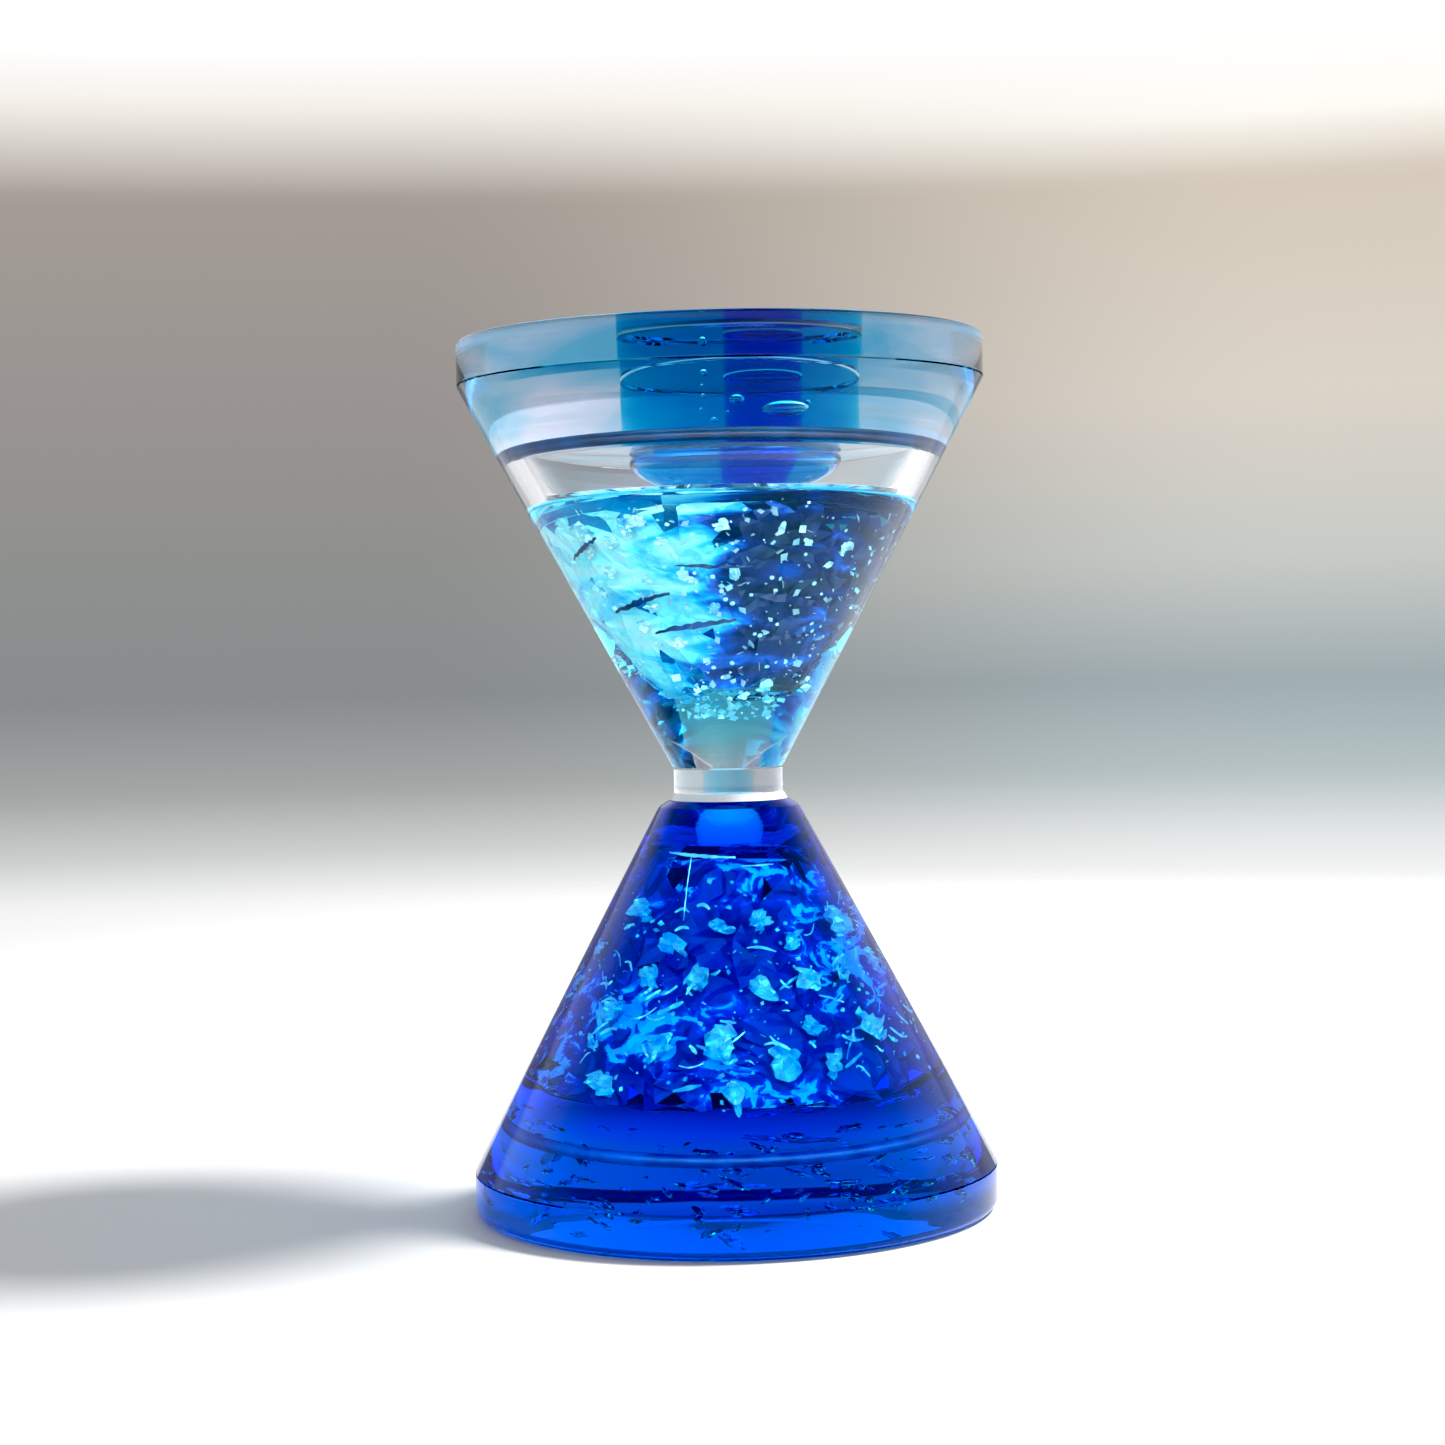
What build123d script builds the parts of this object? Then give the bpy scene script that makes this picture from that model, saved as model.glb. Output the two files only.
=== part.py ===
"""Sealed liquid hourglass: two conical bulbs of clear and cobalt resin joined by a clear neck, closed by end caps, and filled
with dyed liquid that carries loose crumpled foil and glitter.

Frame: +Z up along the axis of revolution, origin at the centre of the lower resting face. Millimetres.
"""

import math
import os
import random

from build123d import *

# ---------------------------------------------------------------- driving dimensions
total_height = 100.0        # resting face to resting face
rim_radius = 30.2           # both end caps and both cone mouths
cap_thickness = 4.9         # flange of an end cap, the upright band at each end
bond_film = 0.2             # adhesive film between a cap's flange and its cone
wall_across = 2.96          # cone wall measured level, 2.6 mm square to the wall

neck_radius = 6.35          # clear neck collar
neck_bottom_z = 47.2        # where the collar leaves the lower cone
neck_top_z = 51.0           # where the collar meets the upper cone
lower_top_radius = 7.7      # shoulder of the lower cone under the collar

upper_spigot = 8.1          # how far each cap's tapered spigot reaches into its cone
lower_spigot = 5.6
spigot_clearance = 0.10     # level gap between a spigot and the cone's bore
seal_section = 1.5          # cord diameter of the cap seals
seal_gap = 0.02

filler_x = 1.6              # the filler hole stands a little off the axis
filler_bore = 9.5           # filler hole through the upper cap
plug_clearance = 0.04
plug_lip = 12.2             # the filler plug's lip, inside the air pocket
plug_foot_z = 83.0          # lowest point of the lip
pin_x = 3.4                 # closing pin through the filler plug
pin_radius = 3.1
pin_foot_z = 84.2

nozzle_radius = 2.0         # flow nozzle that runs through the collar
nozzle_bore = 0.6
nozzle_fit = 0.03
nozzle_bottom_z = 42.9
nozzle_top_z = 52.0

funnel_z, funnel_r = 57.2, 6.60     # where the upper bore leaves the wall and turns into a funnel
throat_z, throat_r = 54.2, 3.05
tip_r = 1.25                        # funnel at the nozzle's mouth

roof_z = 44.0                       # top of the lower chamber
roof_flat_r = 4.4
shoulder_z = 41.2

dish_depth = 2.1                    # the collar's domed foot stands in a dish of this depth
dish_film = 0.15                    # adhesive in the dish

upper_level_z = 82.2                # surface of the liquid in the upper bulb
liquid_gap = 0.05                   # modelling gap between the liquid and what holds it

drift = 2.5                         # how far the loose pieces of each bulb sink as one group

film_thickness = 0.3
lower_film_gap = 3.2                # level gap between the lower bulb's wall and its crumpled film
lower_film_z = (13.6, 36.4)
upper_film_gap = 3.6
upper_film_z = (63.0, 80.6)

# ---------------------------------------------------------------- derived shapes
upper_face_z = total_height - cap_thickness - bond_film     # end face of the upper cone
lower_face_z = cap_thickness + bond_film
upper_slope = (rim_radius - neck_radius) / (upper_face_z - neck_top_z)
lower_slope = (rim_radius - lower_top_radius) / (neck_bottom_z - lower_face_z)


def upper_outer(z):
    return neck_radius + (z - neck_top_z) * upper_slope


def upper_inner(z):
    return upper_outer(z) - wall_across


def lower_outer(z):
    return rim_radius - (z - lower_face_z) * lower_slope


def lower_inner(z):
    return lower_outer(z) - wall_across


dish_sphere = (neck_radius**2 + dish_depth**2) / (2 * dish_depth)
dish_centre_z = neck_bottom_z - dish_depth + dish_sphere
os.makedirs("parts", exist_ok=True)
made = []


def finish(part, name):
    part.label = name
    export_step(part, f"parts/{name}.step")
    made.append((name, part))


# ---------------------------------------------------------------- cones
# The upper cone: a wall of even thickness that thickens into a funnel above the neck, with a socket under it for the nozzle.
with BuildPart() as upper_cone_shell:
    with BuildSketch(Plane.XZ):
        with BuildLine():
            Polyline(
                (neck_radius, neck_top_z),
                (rim_radius, upper_face_z),
                (upper_inner(upper_face_z), upper_face_z),
                (upper_inner(funnel_z + 1.6), funnel_z + 1.6),
                (throat_r, throat_z),
                (tip_r, nozzle_top_z),
                (nozzle_radius + nozzle_fit, nozzle_top_z),
                (nozzle_radius + nozzle_fit, neck_top_z),
                close=True,
            )
        make_face()
    revolve(axis=Axis.Z)
finish(upper_cone_shell.part, "upper_cone_shell")

# The lower cone: the same wall the other way up, closed by a thick roof with a dish for the collar's foot.
with BuildPart() as lower_cone_shell:
    with BuildSketch(Plane.XZ):
        with BuildLine():
            Polyline(
                (rim_radius, lower_face_z),
                (lower_outer(neck_bottom_z - 0.9), neck_bottom_z - 0.9),
                (lower_top_radius - 0.55, neck_bottom_z),
                (neck_radius, neck_bottom_z),
            )
            ThreePointArc(
                (neck_radius, neck_bottom_z),
                (
                    4.2,
                    dish_centre_z - math.sqrt(dish_sphere**2 - 4.2**2),
                ),
                (
                    nozzle_radius + nozzle_fit,
                    dish_centre_z
                    - math.sqrt(dish_sphere**2 - (nozzle_radius + nozzle_fit) ** 2),
                ),
            )
            Polyline(
                (
                    nozzle_radius + nozzle_fit,
                    dish_centre_z
                    - math.sqrt(dish_sphere**2 - (nozzle_radius + nozzle_fit) ** 2),
                ),
                (nozzle_radius + nozzle_fit, roof_z),
                (roof_flat_r, roof_z),
            )
            ThreePointArc(
                (roof_flat_r, roof_z),
                (
                    roof_flat_r + (lower_inner(shoulder_z) - roof_flat_r) * 0.74,
                    shoulder_z + (roof_z - shoulder_z) * 0.66,
                ),
                (lower_inner(shoulder_z), shoulder_z),
            )
            Polyline(
                (lower_inner(shoulder_z), shoulder_z),
                (lower_inner(lower_face_z), lower_face_z),
                (rim_radius, lower_face_z),
            )
        make_face()
    revolve(axis=Axis.Z)
finish(lower_cone_shell.part, "lower_cone_shell")

# ---------------------------------------------------------------- neck
# Clear collar between the cones: a short spool with a domed foot, bored for the nozzle.
foot_sphere = dish_sphere - dish_film


def foot_z(r):
    return dish_centre_z - math.sqrt(foot_sphere**2 - r**2)


collar_foot_r = neck_radius - dish_film
with BuildPart() as neck_collar:
    with BuildSketch(Plane.XZ):
        with BuildLine():
            Polyline(
                (collar_foot_r, foot_z(collar_foot_r)),
                (neck_radius - 0.05, neck_bottom_z + 0.35),
                (neck_radius - 0.05, neck_top_z - bond_film),
                (nozzle_radius + nozzle_fit, neck_top_z - bond_film),
                (nozzle_radius + nozzle_fit, foot_z(nozzle_radius + nozzle_fit)),
            )
            ThreePointArc(
                (nozzle_radius + nozzle_fit, foot_z(nozzle_radius + nozzle_fit)),
                (4.2, foot_z(4.2)),
                (collar_foot_r, foot_z(collar_foot_r)),
            )
        make_face()
    revolve(axis=Axis.Z)
finish(neck_collar.part, "neck_collar")

# Flow nozzle: a fine bore that meters the liquid, countersunk at the top and tapered where it opens into the lower chamber.
with BuildPart() as flow_nozzle:
    with BuildSketch(Plane.XZ):
        with BuildLine():
            Polyline(
                (nozzle_bore, nozzle_bottom_z),
                (1.25, nozzle_bottom_z),
                (nozzle_radius, roof_z + 0.1),
                (nozzle_radius, nozzle_top_z - 0.02),
                (tip_r, nozzle_top_z - 0.02),
                (nozzle_bore, nozzle_top_z - 0.9),
                close=True,
            )
        make_face()
    revolve(axis=Axis.Z)
finish(flow_nozzle.part, "flow_nozzle")

# Adhesive film between the collar and the upper cone.
with BuildPart() as neck_bond_upper:
    with BuildSketch(Plane.XY.offset(neck_top_z - bond_film)):
        Circle(neck_radius - 0.05)
        Circle(nozzle_radius + 0.3, mode=Mode.SUBTRACT)
    extrude(amount=bond_film)
finish(neck_bond_upper.part, "neck_bond_upper")

# Adhesive that fills the dish round the collar's foot and stands up as a small fillet at its edge.
with BuildPart() as neck_bond_lower:
    with BuildSketch(Plane.XZ):
        with BuildLine():
            Polyline(
                (neck_radius, neck_bottom_z + 0.02),
                (neck_radius + 0.45, neck_bottom_z + 0.02),
                (neck_radius - 0.04, neck_bottom_z + 0.85),
                (neck_radius - 0.04, neck_bottom_z + 0.35),
                (collar_foot_r + 0.01, foot_z(collar_foot_r) - 0.01),
            )
            ThreePointArc(
                (collar_foot_r + 0.01, foot_z(collar_foot_r) - 0.01),
                (4.2, foot_z(4.2) - 0.01),
                (nozzle_radius + 0.4, foot_z(nozzle_radius + 0.4) - 0.01),
            )
            Line(
                (nozzle_radius + 0.4, foot_z(nozzle_radius + 0.4) - 0.01),
                (
                    nozzle_radius + 0.4,
                    dish_centre_z
                    - math.sqrt(dish_sphere**2 - (nozzle_radius + 0.4) ** 2)
                    + 0.01,
                ),
            )
            ThreePointArc(
                (
                    nozzle_radius + 0.4,
                    dish_centre_z
                    - math.sqrt(dish_sphere**2 - (nozzle_radius + 0.4) ** 2)
                    + 0.01,
                ),
                (4.2, dish_centre_z - math.sqrt(dish_sphere**2 - 4.2**2) + 0.01),
                (neck_radius, neck_bottom_z + 0.02),
            )
        make_face()
    revolve(axis=Axis.Z)
finish(neck_bond_lower.part, "neck_bond_lower")


# ---------------------------------------------------------------- end caps, written once for z measured down from the resting face
def cap_profile(spigot, seal_z, bore_at):
    """Points of a cap's section as (radius, depth), and its seal's centre. bore_at(depth) is the cone's bore."""
    depth = cap_thickness + spigot
    wall = math.radians(90) - math.atan2(1, upper_slope)
    centre_r = bore_at(seal_z) - (seal_section / 2 + seal_gap) / math.cos(wall)
    groove = seal_section / 2 + 0.05
    floor_r = centre_r - seal_section / 2 - seal_gap
    r = lambda d: bore_at(d) - spigot_clearance
    points = [
        (0.0, 0.0),
        (rim_radius - 0.5, 0.0),
        (rim_radius, 0.5),
        (rim_radius, cap_thickness),
        (r(cap_thickness + bond_film), cap_thickness),
        (r(cap_thickness + bond_film), cap_thickness + bond_film),
        (r(seal_z - groove), seal_z - groove),
        (floor_r, seal_z - groove),
        (floor_r, seal_z + groove),
        (r(seal_z + groove), seal_z + groove),
        (r(depth), depth),
        (0.0, depth),
    ]
    return points, (centre_r, seal_z)


upper_bore_at = lambda d: upper_inner(total_height - d)
lower_bore_at = lambda d: lower_inner(d)
upper_cap_points, upper_seal_at = cap_profile(
    upper_spigot, cap_thickness + upper_spigot - 1.1, upper_bore_at
)
lower_cap_points, lower_seal_at = cap_profile(
    lower_spigot, cap_thickness + lower_spigot - 1.2, lower_bore_at
)

with BuildPart() as upper_end_cap:
    with BuildSketch(Plane.XZ):
        with BuildLine():
            Polyline(*[(r, total_height - d) for r, d in upper_cap_points], close=True)
        make_face()
    revolve(axis=Axis.Z)
    with BuildSketch(Plane.XY.offset(total_height)):
        with Locations((filler_x, 0)):
            Circle(filler_bore)
    extrude(amount=-(cap_thickness + upper_spigot + 1), mode=Mode.SUBTRACT)
finish(upper_end_cap.part, "upper_end_cap")

with BuildPart() as lower_end_cap:
    with BuildSketch(Plane.XZ):
        with BuildLine():
            Polyline(*lower_cap_points, close=True)
        make_face()
    revolve(axis=Axis.Z)
finish(lower_end_cap.part, "lower_end_cap")

# Adhesive films under the flanges.
with BuildPart() as upper_rim_bond:
    with BuildSketch(Plane.XY.offset(upper_face_z)):
        Circle(rim_radius - 0.12)
        Circle(upper_inner(upper_face_z) + 0.02, mode=Mode.SUBTRACT)
    extrude(amount=bond_film)
finish(upper_rim_bond.part, "upper_rim_bond")

with BuildPart() as lower_rim_bond:
    with BuildSketch(Plane.XY.offset(cap_thickness)):
        Circle(rim_radius - 0.12)
        Circle(lower_inner(lower_face_z) + 0.02, mode=Mode.SUBTRACT)
    extrude(amount=bond_film)
finish(lower_rim_bond.part, "lower_rim_bond")

# Cap seals: round cord seated in the spigots' grooves against the cone's bore.
with BuildPart() as upper_cap_seal:
    with BuildSketch(Plane.XZ):
        with Locations((upper_seal_at[0], total_height - upper_seal_at[1])):
            Circle(seal_section / 2)
    revolve(axis=Axis.Z)
finish(upper_cap_seal.part, "upper_cap_seal")

with BuildPart() as lower_cap_seal:
    with BuildSketch(Plane.XZ):
        with Locations((lower_seal_at[0], lower_seal_at[1])):
            Circle(seal_section / 2)
    revolve(axis=Axis.Z)
finish(lower_cap_seal.part, "lower_cap_seal")


# Filler plug: a stem flush with the upper resting face, and a domed lip under the cap, bored for its closing pin.
stem = filler_bore - plug_clearance
cap_foot_z = total_height - cap_thickness - upper_spigot
with BuildPart() as upper_filler_plug:
    with BuildSketch(Plane.XZ):
        with BuildLine():
            Polyline(
                (0, total_height - 0.05),
                (stem - 0.3, total_height - 0.05),
                (stem, total_height - 0.35),
                (stem, cap_foot_z - 0.05),
                (plug_lip - 0.4, cap_foot_z - 0.05),
                (plug_lip, cap_foot_z - 0.5),
            )
            ThreePointArc(
                (plug_lip, cap_foot_z - 0.5),
                (8.9, plug_foot_z + 1.15),
                (3.2, plug_foot_z),
            )
            Polyline((3.2, plug_foot_z), (0, plug_foot_z), (0, total_height - 0.05))
        make_face()
    revolve(axis=Axis.Z)
    with BuildSketch(Plane.XY.offset(total_height)):
        with Locations((pin_x - filler_x, 0)):
            Circle(pin_radius + plug_clearance)
    extrude(amount=-(total_height - pin_foot_z + 0.1), mode=Mode.SUBTRACT)
upper_filler_plug.part.position = (filler_x, 0, 0)
finish(upper_filler_plug.part, "upper_filler_plug")

# Closing pin: pressed into the plug once the vessel is full.
with BuildPart() as plug_pin:
    with BuildSketch(Plane.XY.offset(pin_foot_z)):
        with Locations((pin_x, 0)):
            Circle(pin_radius)
    extrude(amount=total_height - 0.07 - pin_foot_z)
    chamfer(plug_pin.faces().sort_by(Axis.Z)[-1].edges(), length=0.25)
finish(plug_pin.part, "plug_pin")

# ---------------------------------------------------------------- loose pieces in the liquid
# Each is a thin irregular plate. They are held apart from each other and from the walls over the whole drift of their group.
# Foil and glitter lie between each bulb's wall and its crumpled film, roughly along the wall.
rng = random.Random(41)


def plate(points, thickness, at, turns):
    """A closed thin plate cut to points, turned about X, Y and Z in degrees, and moved to at."""
    with BuildPart(mode=Mode.PRIVATE) as p:
        with BuildSketch(Plane.XY.offset(-thickness / 2)):
            with BuildLine():
                Polyline(*points, close=True)
            make_face()
        extrude(amount=thickness)
    return p.part.moved(Location(at, turns))


def ragged(radius, corners):
    turn = rng.uniform(0, 360)
    return [
        (
            radius * rng.uniform(0.72, 1.0) * math.cos(math.radians(turn + 360 * k / corners)),
            radius * rng.uniform(0.72, 1.0) * math.sin(math.radians(turn + 360 * k / corners)),
        )
        for k in range(corners)
    ]


lower_tilt = -math.degrees(math.atan(lower_slope))  # both walls lean by this much from upright
upper_tilt = math.degrees(math.atan(upper_slope))


def lower_lane(z):
    """Nearest and furthest a piece may be from the axis at a height, before its own size."""
    return lower_inner(z) - lower_film_gap + 0.15, lower_inner(z) - 0.35


def upper_lane(z):
    return upper_inner(z) - upper_film_gap + 0.15, upper_inner(z - drift) - 0.35


def lay(count, size, height, lane, lean, placed, others, tries=9000):
    """Lays plates along a bulb's wall: (x, y, z, radius, turns). Those in placed come first, as (azimuth, z, radius)."""
    found = []
    wanted = [(a, z, r) for a, z, r in placed]
    while len(found) < count and tries > 0:
        tries -= 1
        if wanted:
            azimuth, z, radius = wanted.pop(0)
        else:
            azimuth, z, radius = (
                rng.uniform(0, 360),
                rng.uniform(*height),
                rng.uniform(*size),
            )
        near, far = lane(z)
        tip = rng.uniform(-16, 16)
        half = radius * math.sin(math.radians(abs(tip) + 12)) + 0.1
        flat = (radius * radius) / (2 * near)      # how far a flat plate's edge stands off the round wall
        if far - near < 2 * half + flat:
            continue
        rho = rng.uniform(near + half, far - half - flat)
        a = math.radians(azimuth)
        at = (rho * math.sin(a), -rho * math.cos(a), z)
        if all(math.dist(at, o[:3]) > radius + o[3] + 0.1 for o in others + found):
            found.append((*at, radius, (90 + lean + tip, rng.uniform(-9, 9), azimuth)))
    return found


def plates(laid, corners, thickness):
    """Cuts the plates. Each is turned upright, leant with the wall and swung round to its azimuth."""
    made = []
    for x, y, z, radius, (lean, roll, azimuth) in laid:
        flat = plate(ragged(0.97 * radius, corners), thickness, (0, 0, 0), (lean, roll, 0))
        made.append(flat.moved(Location((0, 0, 0), (0, 0, azimuth))).moved(Location((x, y, z))))
    return made


# (azimuth from the front, height, radius): the flakes that show most, the rest are laid at random
lower_foil_placed = [
    (-30, 31.0, 2.2), (-14, 27.6, 2.4), (-6, 33.0, 1.5), (16, 33.4, 1.6), (13, 26.4, 2.3), (34, 27.4, 1.9),
    (-6, 20.8, 2.5), (16, 19.0, 2.3), (-27, 20.2, 2.5), (34, 17.8, 2.1), (54, 21.0, 2.4), (-44, 16.2, 2.3), (0, 15.6, 2.0),
]
upper_foil_placed = [
    (-38, 79.0, 1.5), (22, 78.4, 1.3), (55, 76.8, 1.4), (5, 73.6, 1.2), (-40, 70.2, 1.4), (-62, 77.0, 1.5),
]
lower_foil_laid = lay(38, (1.2, 2.5), (14.8, 34.0), lower_lane, lower_tilt, lower_foil_placed, [])
upper_foil_laid = lay(16, (0.8, 1.5), (66.5, 79.4), upper_lane, upper_tilt, upper_foil_placed, [])
lower_glitter_laid = lay(52, (0.35, 0.6), (14.0, 36.0), lower_lane, lower_tilt, [], lower_foil_laid)
upper_glitter_laid = lay(52, (0.30, 0.55), (65.0, 81.4), upper_lane, upper_tilt, [], upper_foil_laid)

foil_thickness = 0.16
glitter_thickness = 0.14
lower_foil = plates(lower_foil_laid, 6, foil_thickness)
upper_foil = plates(upper_foil_laid, 6, foil_thickness)
lower_glitter = plates(lower_glitter_laid, 5, glitter_thickness)
upper_glitter = plates(upper_glitter_laid, 5, glitter_thickness)
finish(Compound(children=lower_foil), "lower_foil_flakes")
finish(Compound(children=upper_foil), "upper_foil_flakes")
finish(Compound(children=lower_glitter), "lower_glitter")
finish(Compound(children=upper_glitter), "upper_glitter")


# Crumpled film: an open cone of thin film that hangs loose in each bulb.
def film(z0, z1, bore_at, gap):
    with BuildPart(mode=Mode.PRIVATE) as p:
        with BuildSketch(Plane.XZ):
            with BuildLine():
                Polyline(
                    (bore_at(z0) - gap, z0),
                    (bore_at(z1) - gap, z1),
                    (bore_at(z1) - gap - film_thickness, z1),
                    (bore_at(z0) - gap - film_thickness, z0),
                    close=True,
                )
            make_face()
        revolve(axis=Axis.Z)
    return p.part


lower_film = film(*lower_film_z, lower_inner, lower_film_gap)
upper_film = film(*upper_film_z, upper_inner, upper_film_gap)
finish(lower_film, "lower_film")
finish(upper_film, "upper_film")

# ---------------------------------------------------------------- liquid
g = liquid_gap
with BuildPart() as upper_liquid:
    with BuildSketch(Plane.XZ):
        with BuildLine():
            Polyline(
                (0, nozzle_bottom_z + g),
                (nozzle_bore - g, nozzle_bottom_z + g),
                (nozzle_bore - g, nozzle_top_z - 0.9),
                (tip_r - g, nozzle_top_z),
                (throat_r - g, throat_z),
                (upper_inner(funnel_z + 1.6) - g, funnel_z + 1.6),
                (upper_inner(upper_level_z) - g, upper_level_z),
                (0, upper_level_z),
                close=True,
            )
        make_face()
    revolve(axis=Axis.Z)
    add(upper_foil + upper_glitter + [upper_film], mode=Mode.SUBTRACT)
finish(upper_liquid.part, "upper_liquid")

with BuildPart() as lower_liquid:
    with BuildSketch(Plane.XZ):
        with BuildLine():
            Polyline(
                (0, cap_thickness + lower_spigot + g),
                (
                    lower_inner(cap_thickness + lower_spigot + g) - g,
                    cap_thickness + lower_spigot + g,
                ),
                (lower_inner(shoulder_z) - g, shoulder_z),
            )
            ThreePointArc(
                (lower_inner(shoulder_z) - g, shoulder_z),
                (
                    roof_flat_r + (lower_inner(shoulder_z) - roof_flat_r) * 0.74 - g,
                    shoulder_z + (roof_z - shoulder_z) * 0.66 - g,
                ),
                (roof_flat_r, roof_z - g),
            )
            Polyline(
                (roof_flat_r, roof_z - g),
                (nozzle_radius + g, roof_z - g),
                (nozzle_radius + g, roof_z + 0.05 - 2 * g),
                (1.25 + g, nozzle_bottom_z),
                (1.25 + g, nozzle_bottom_z - g),
                (0, nozzle_bottom_z - g),
                (0, cap_thickness + lower_spigot + g),
            )
        make_face()
    revolve(axis=Axis.Z)
    add(lower_foil + lower_glitter + [lower_film], mode=Mode.SUBTRACT)
finish(lower_liquid.part, "lower_liquid")

for name, part in made:
    print(f"{name:20s} solids {len(part.solids()):3d}  volume {part.volume:10.2f} mm3")
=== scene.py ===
"""Looks for the sealed liquid hourglass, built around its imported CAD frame. Metres, +Z up, the same frame as the CAD."""

import math
import random

import bmesh
import bpy
from mathutils import Matrix, Vector, noise


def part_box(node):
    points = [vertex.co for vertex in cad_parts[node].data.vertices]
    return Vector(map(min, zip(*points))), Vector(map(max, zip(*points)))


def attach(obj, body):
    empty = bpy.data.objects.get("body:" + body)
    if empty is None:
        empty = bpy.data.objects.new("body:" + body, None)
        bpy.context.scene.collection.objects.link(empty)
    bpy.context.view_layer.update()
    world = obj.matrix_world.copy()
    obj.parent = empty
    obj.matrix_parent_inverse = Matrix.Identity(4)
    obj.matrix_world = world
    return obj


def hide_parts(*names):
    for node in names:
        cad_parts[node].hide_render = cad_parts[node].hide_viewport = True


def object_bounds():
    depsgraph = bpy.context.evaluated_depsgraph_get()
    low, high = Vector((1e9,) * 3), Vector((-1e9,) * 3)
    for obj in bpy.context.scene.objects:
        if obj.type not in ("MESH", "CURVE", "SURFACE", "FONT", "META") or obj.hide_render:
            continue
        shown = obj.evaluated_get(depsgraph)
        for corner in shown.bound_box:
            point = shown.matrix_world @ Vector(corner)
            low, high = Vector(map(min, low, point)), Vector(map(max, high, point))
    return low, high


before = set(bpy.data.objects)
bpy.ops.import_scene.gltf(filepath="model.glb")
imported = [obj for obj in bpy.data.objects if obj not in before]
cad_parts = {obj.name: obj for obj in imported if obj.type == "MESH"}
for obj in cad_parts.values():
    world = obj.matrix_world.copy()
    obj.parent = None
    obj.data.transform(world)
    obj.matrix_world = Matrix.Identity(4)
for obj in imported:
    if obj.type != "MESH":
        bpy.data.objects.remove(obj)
cad_lo, cad_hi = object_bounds()
scene = bpy.context.scene
MM = 0.001

# ------------------------------------------------------------------ sizes, from the frame
H = cad_hi.z / MM
R = (cad_hi.x - cad_lo.x) / 2 / MM
collar_lo, collar_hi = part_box("neck_collar")
shell_lo, shell_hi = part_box("upper_cone_shell")
base_lo, base_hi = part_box("lower_cone_shell")
ucap_lo, ucap_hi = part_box("upper_end_cap")
lcap_lo, lcap_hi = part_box("lower_end_cap")
uliq_lo, uliq_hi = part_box("upper_liquid")
lliq_lo, lliq_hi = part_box("lower_liquid")
Z_UP = shell_hi.z / MM              # end face of the upper cone
Z_LOW = base_lo.z / MM              # end face of the lower cone
Z_NECK_TOP = shell_lo.z / MM
Z_NECK_FOOT = base_hi.z / MM
NECK_R = collar_hi.x / MM + 0.05
SHOULDER_R = 7.7
WALL = 2.96
UP_SLOPE = (R - NECK_R) / (Z_UP - Z_NECK_TOP)
LOW_SLOPE = (R - SHOULDER_R) / (Z_NECK_FOOT - Z_LOW)
LEVEL = uliq_hi.z / MM              # liquid surface in the upper bulb
Z_USPIGOT = ucap_lo.z / MM          # underside of the upper cap
Z_LSPIGOT = lcap_hi.z / MM          # top of the lower cap
ROOF = 44.0
RESIN_IOR = 1.49
LIQUID_IOR = 1.44


def uo(z):
    return NECK_R + (z - Z_NECK_TOP) * UP_SLOPE


def ui(z):
    return uo(z) - WALL


def lo_(z):
    return R - (z - Z_LOW) * LOW_SLOPE


def li(z):
    return lo_(z) - WALL


# ------------------------------------------------------------------ camera, studio
def make_camera():
    data = bpy.data.cameras.new("camera")
    data.sensor_width = 36.0
    data.lens = 67.525
    data.clip_start, data.clip_end = 0.005, 20.0
    cam = bpy.data.objects.new("camera", data)
    scene.collection.objects.link(cam)
    turn = Matrix.Rotation(math.radians(88.307), 4, "X") @ Matrix.Rotation(
        math.radians(-1.234), 4, "Z"
    )
    cam.matrix_world = Matrix.Translation((-0.000526, -0.313, 0.06527)) @ turn
    scene.camera = cam


make_camera()
scene.view_settings.view_transform = "Standard"
scene.view_settings.use_curve_mapping = True
scene.view_settings.curve_mapping.black_level = (0.016, 0.008, 0.0)
scene.view_settings.curve_mapping.update()
scene.cycles.max_bounces = 24
scene.cycles.transmission_bounces = 24
scene.cycles.transparent_max_bounces = 24
scene.cycles.glossy_bounces = 8
scene.cycles.diffuse_bounces = 3
scene.cycles.volume_bounces = 0
scene.cycles.sample_clamp_indirect = 6.0
scene.cycles.blur_glossy = 0.3


def ramp(tree, stops, interpolation="LINEAR"):
    node = tree.nodes.new("ShaderNodeValToRGB")
    node.color_ramp.interpolation = interpolation
    els = node.color_ramp.elements
    while len(els) > 1:
        els.remove(els[-1])
    els[0].position, els[0].color = stops[0][0], (*stops[0][1], 1)
    for p, c in stops[1:]:
        e = els.new(p)
        e.color = (*c, 1)
    return node


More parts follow.
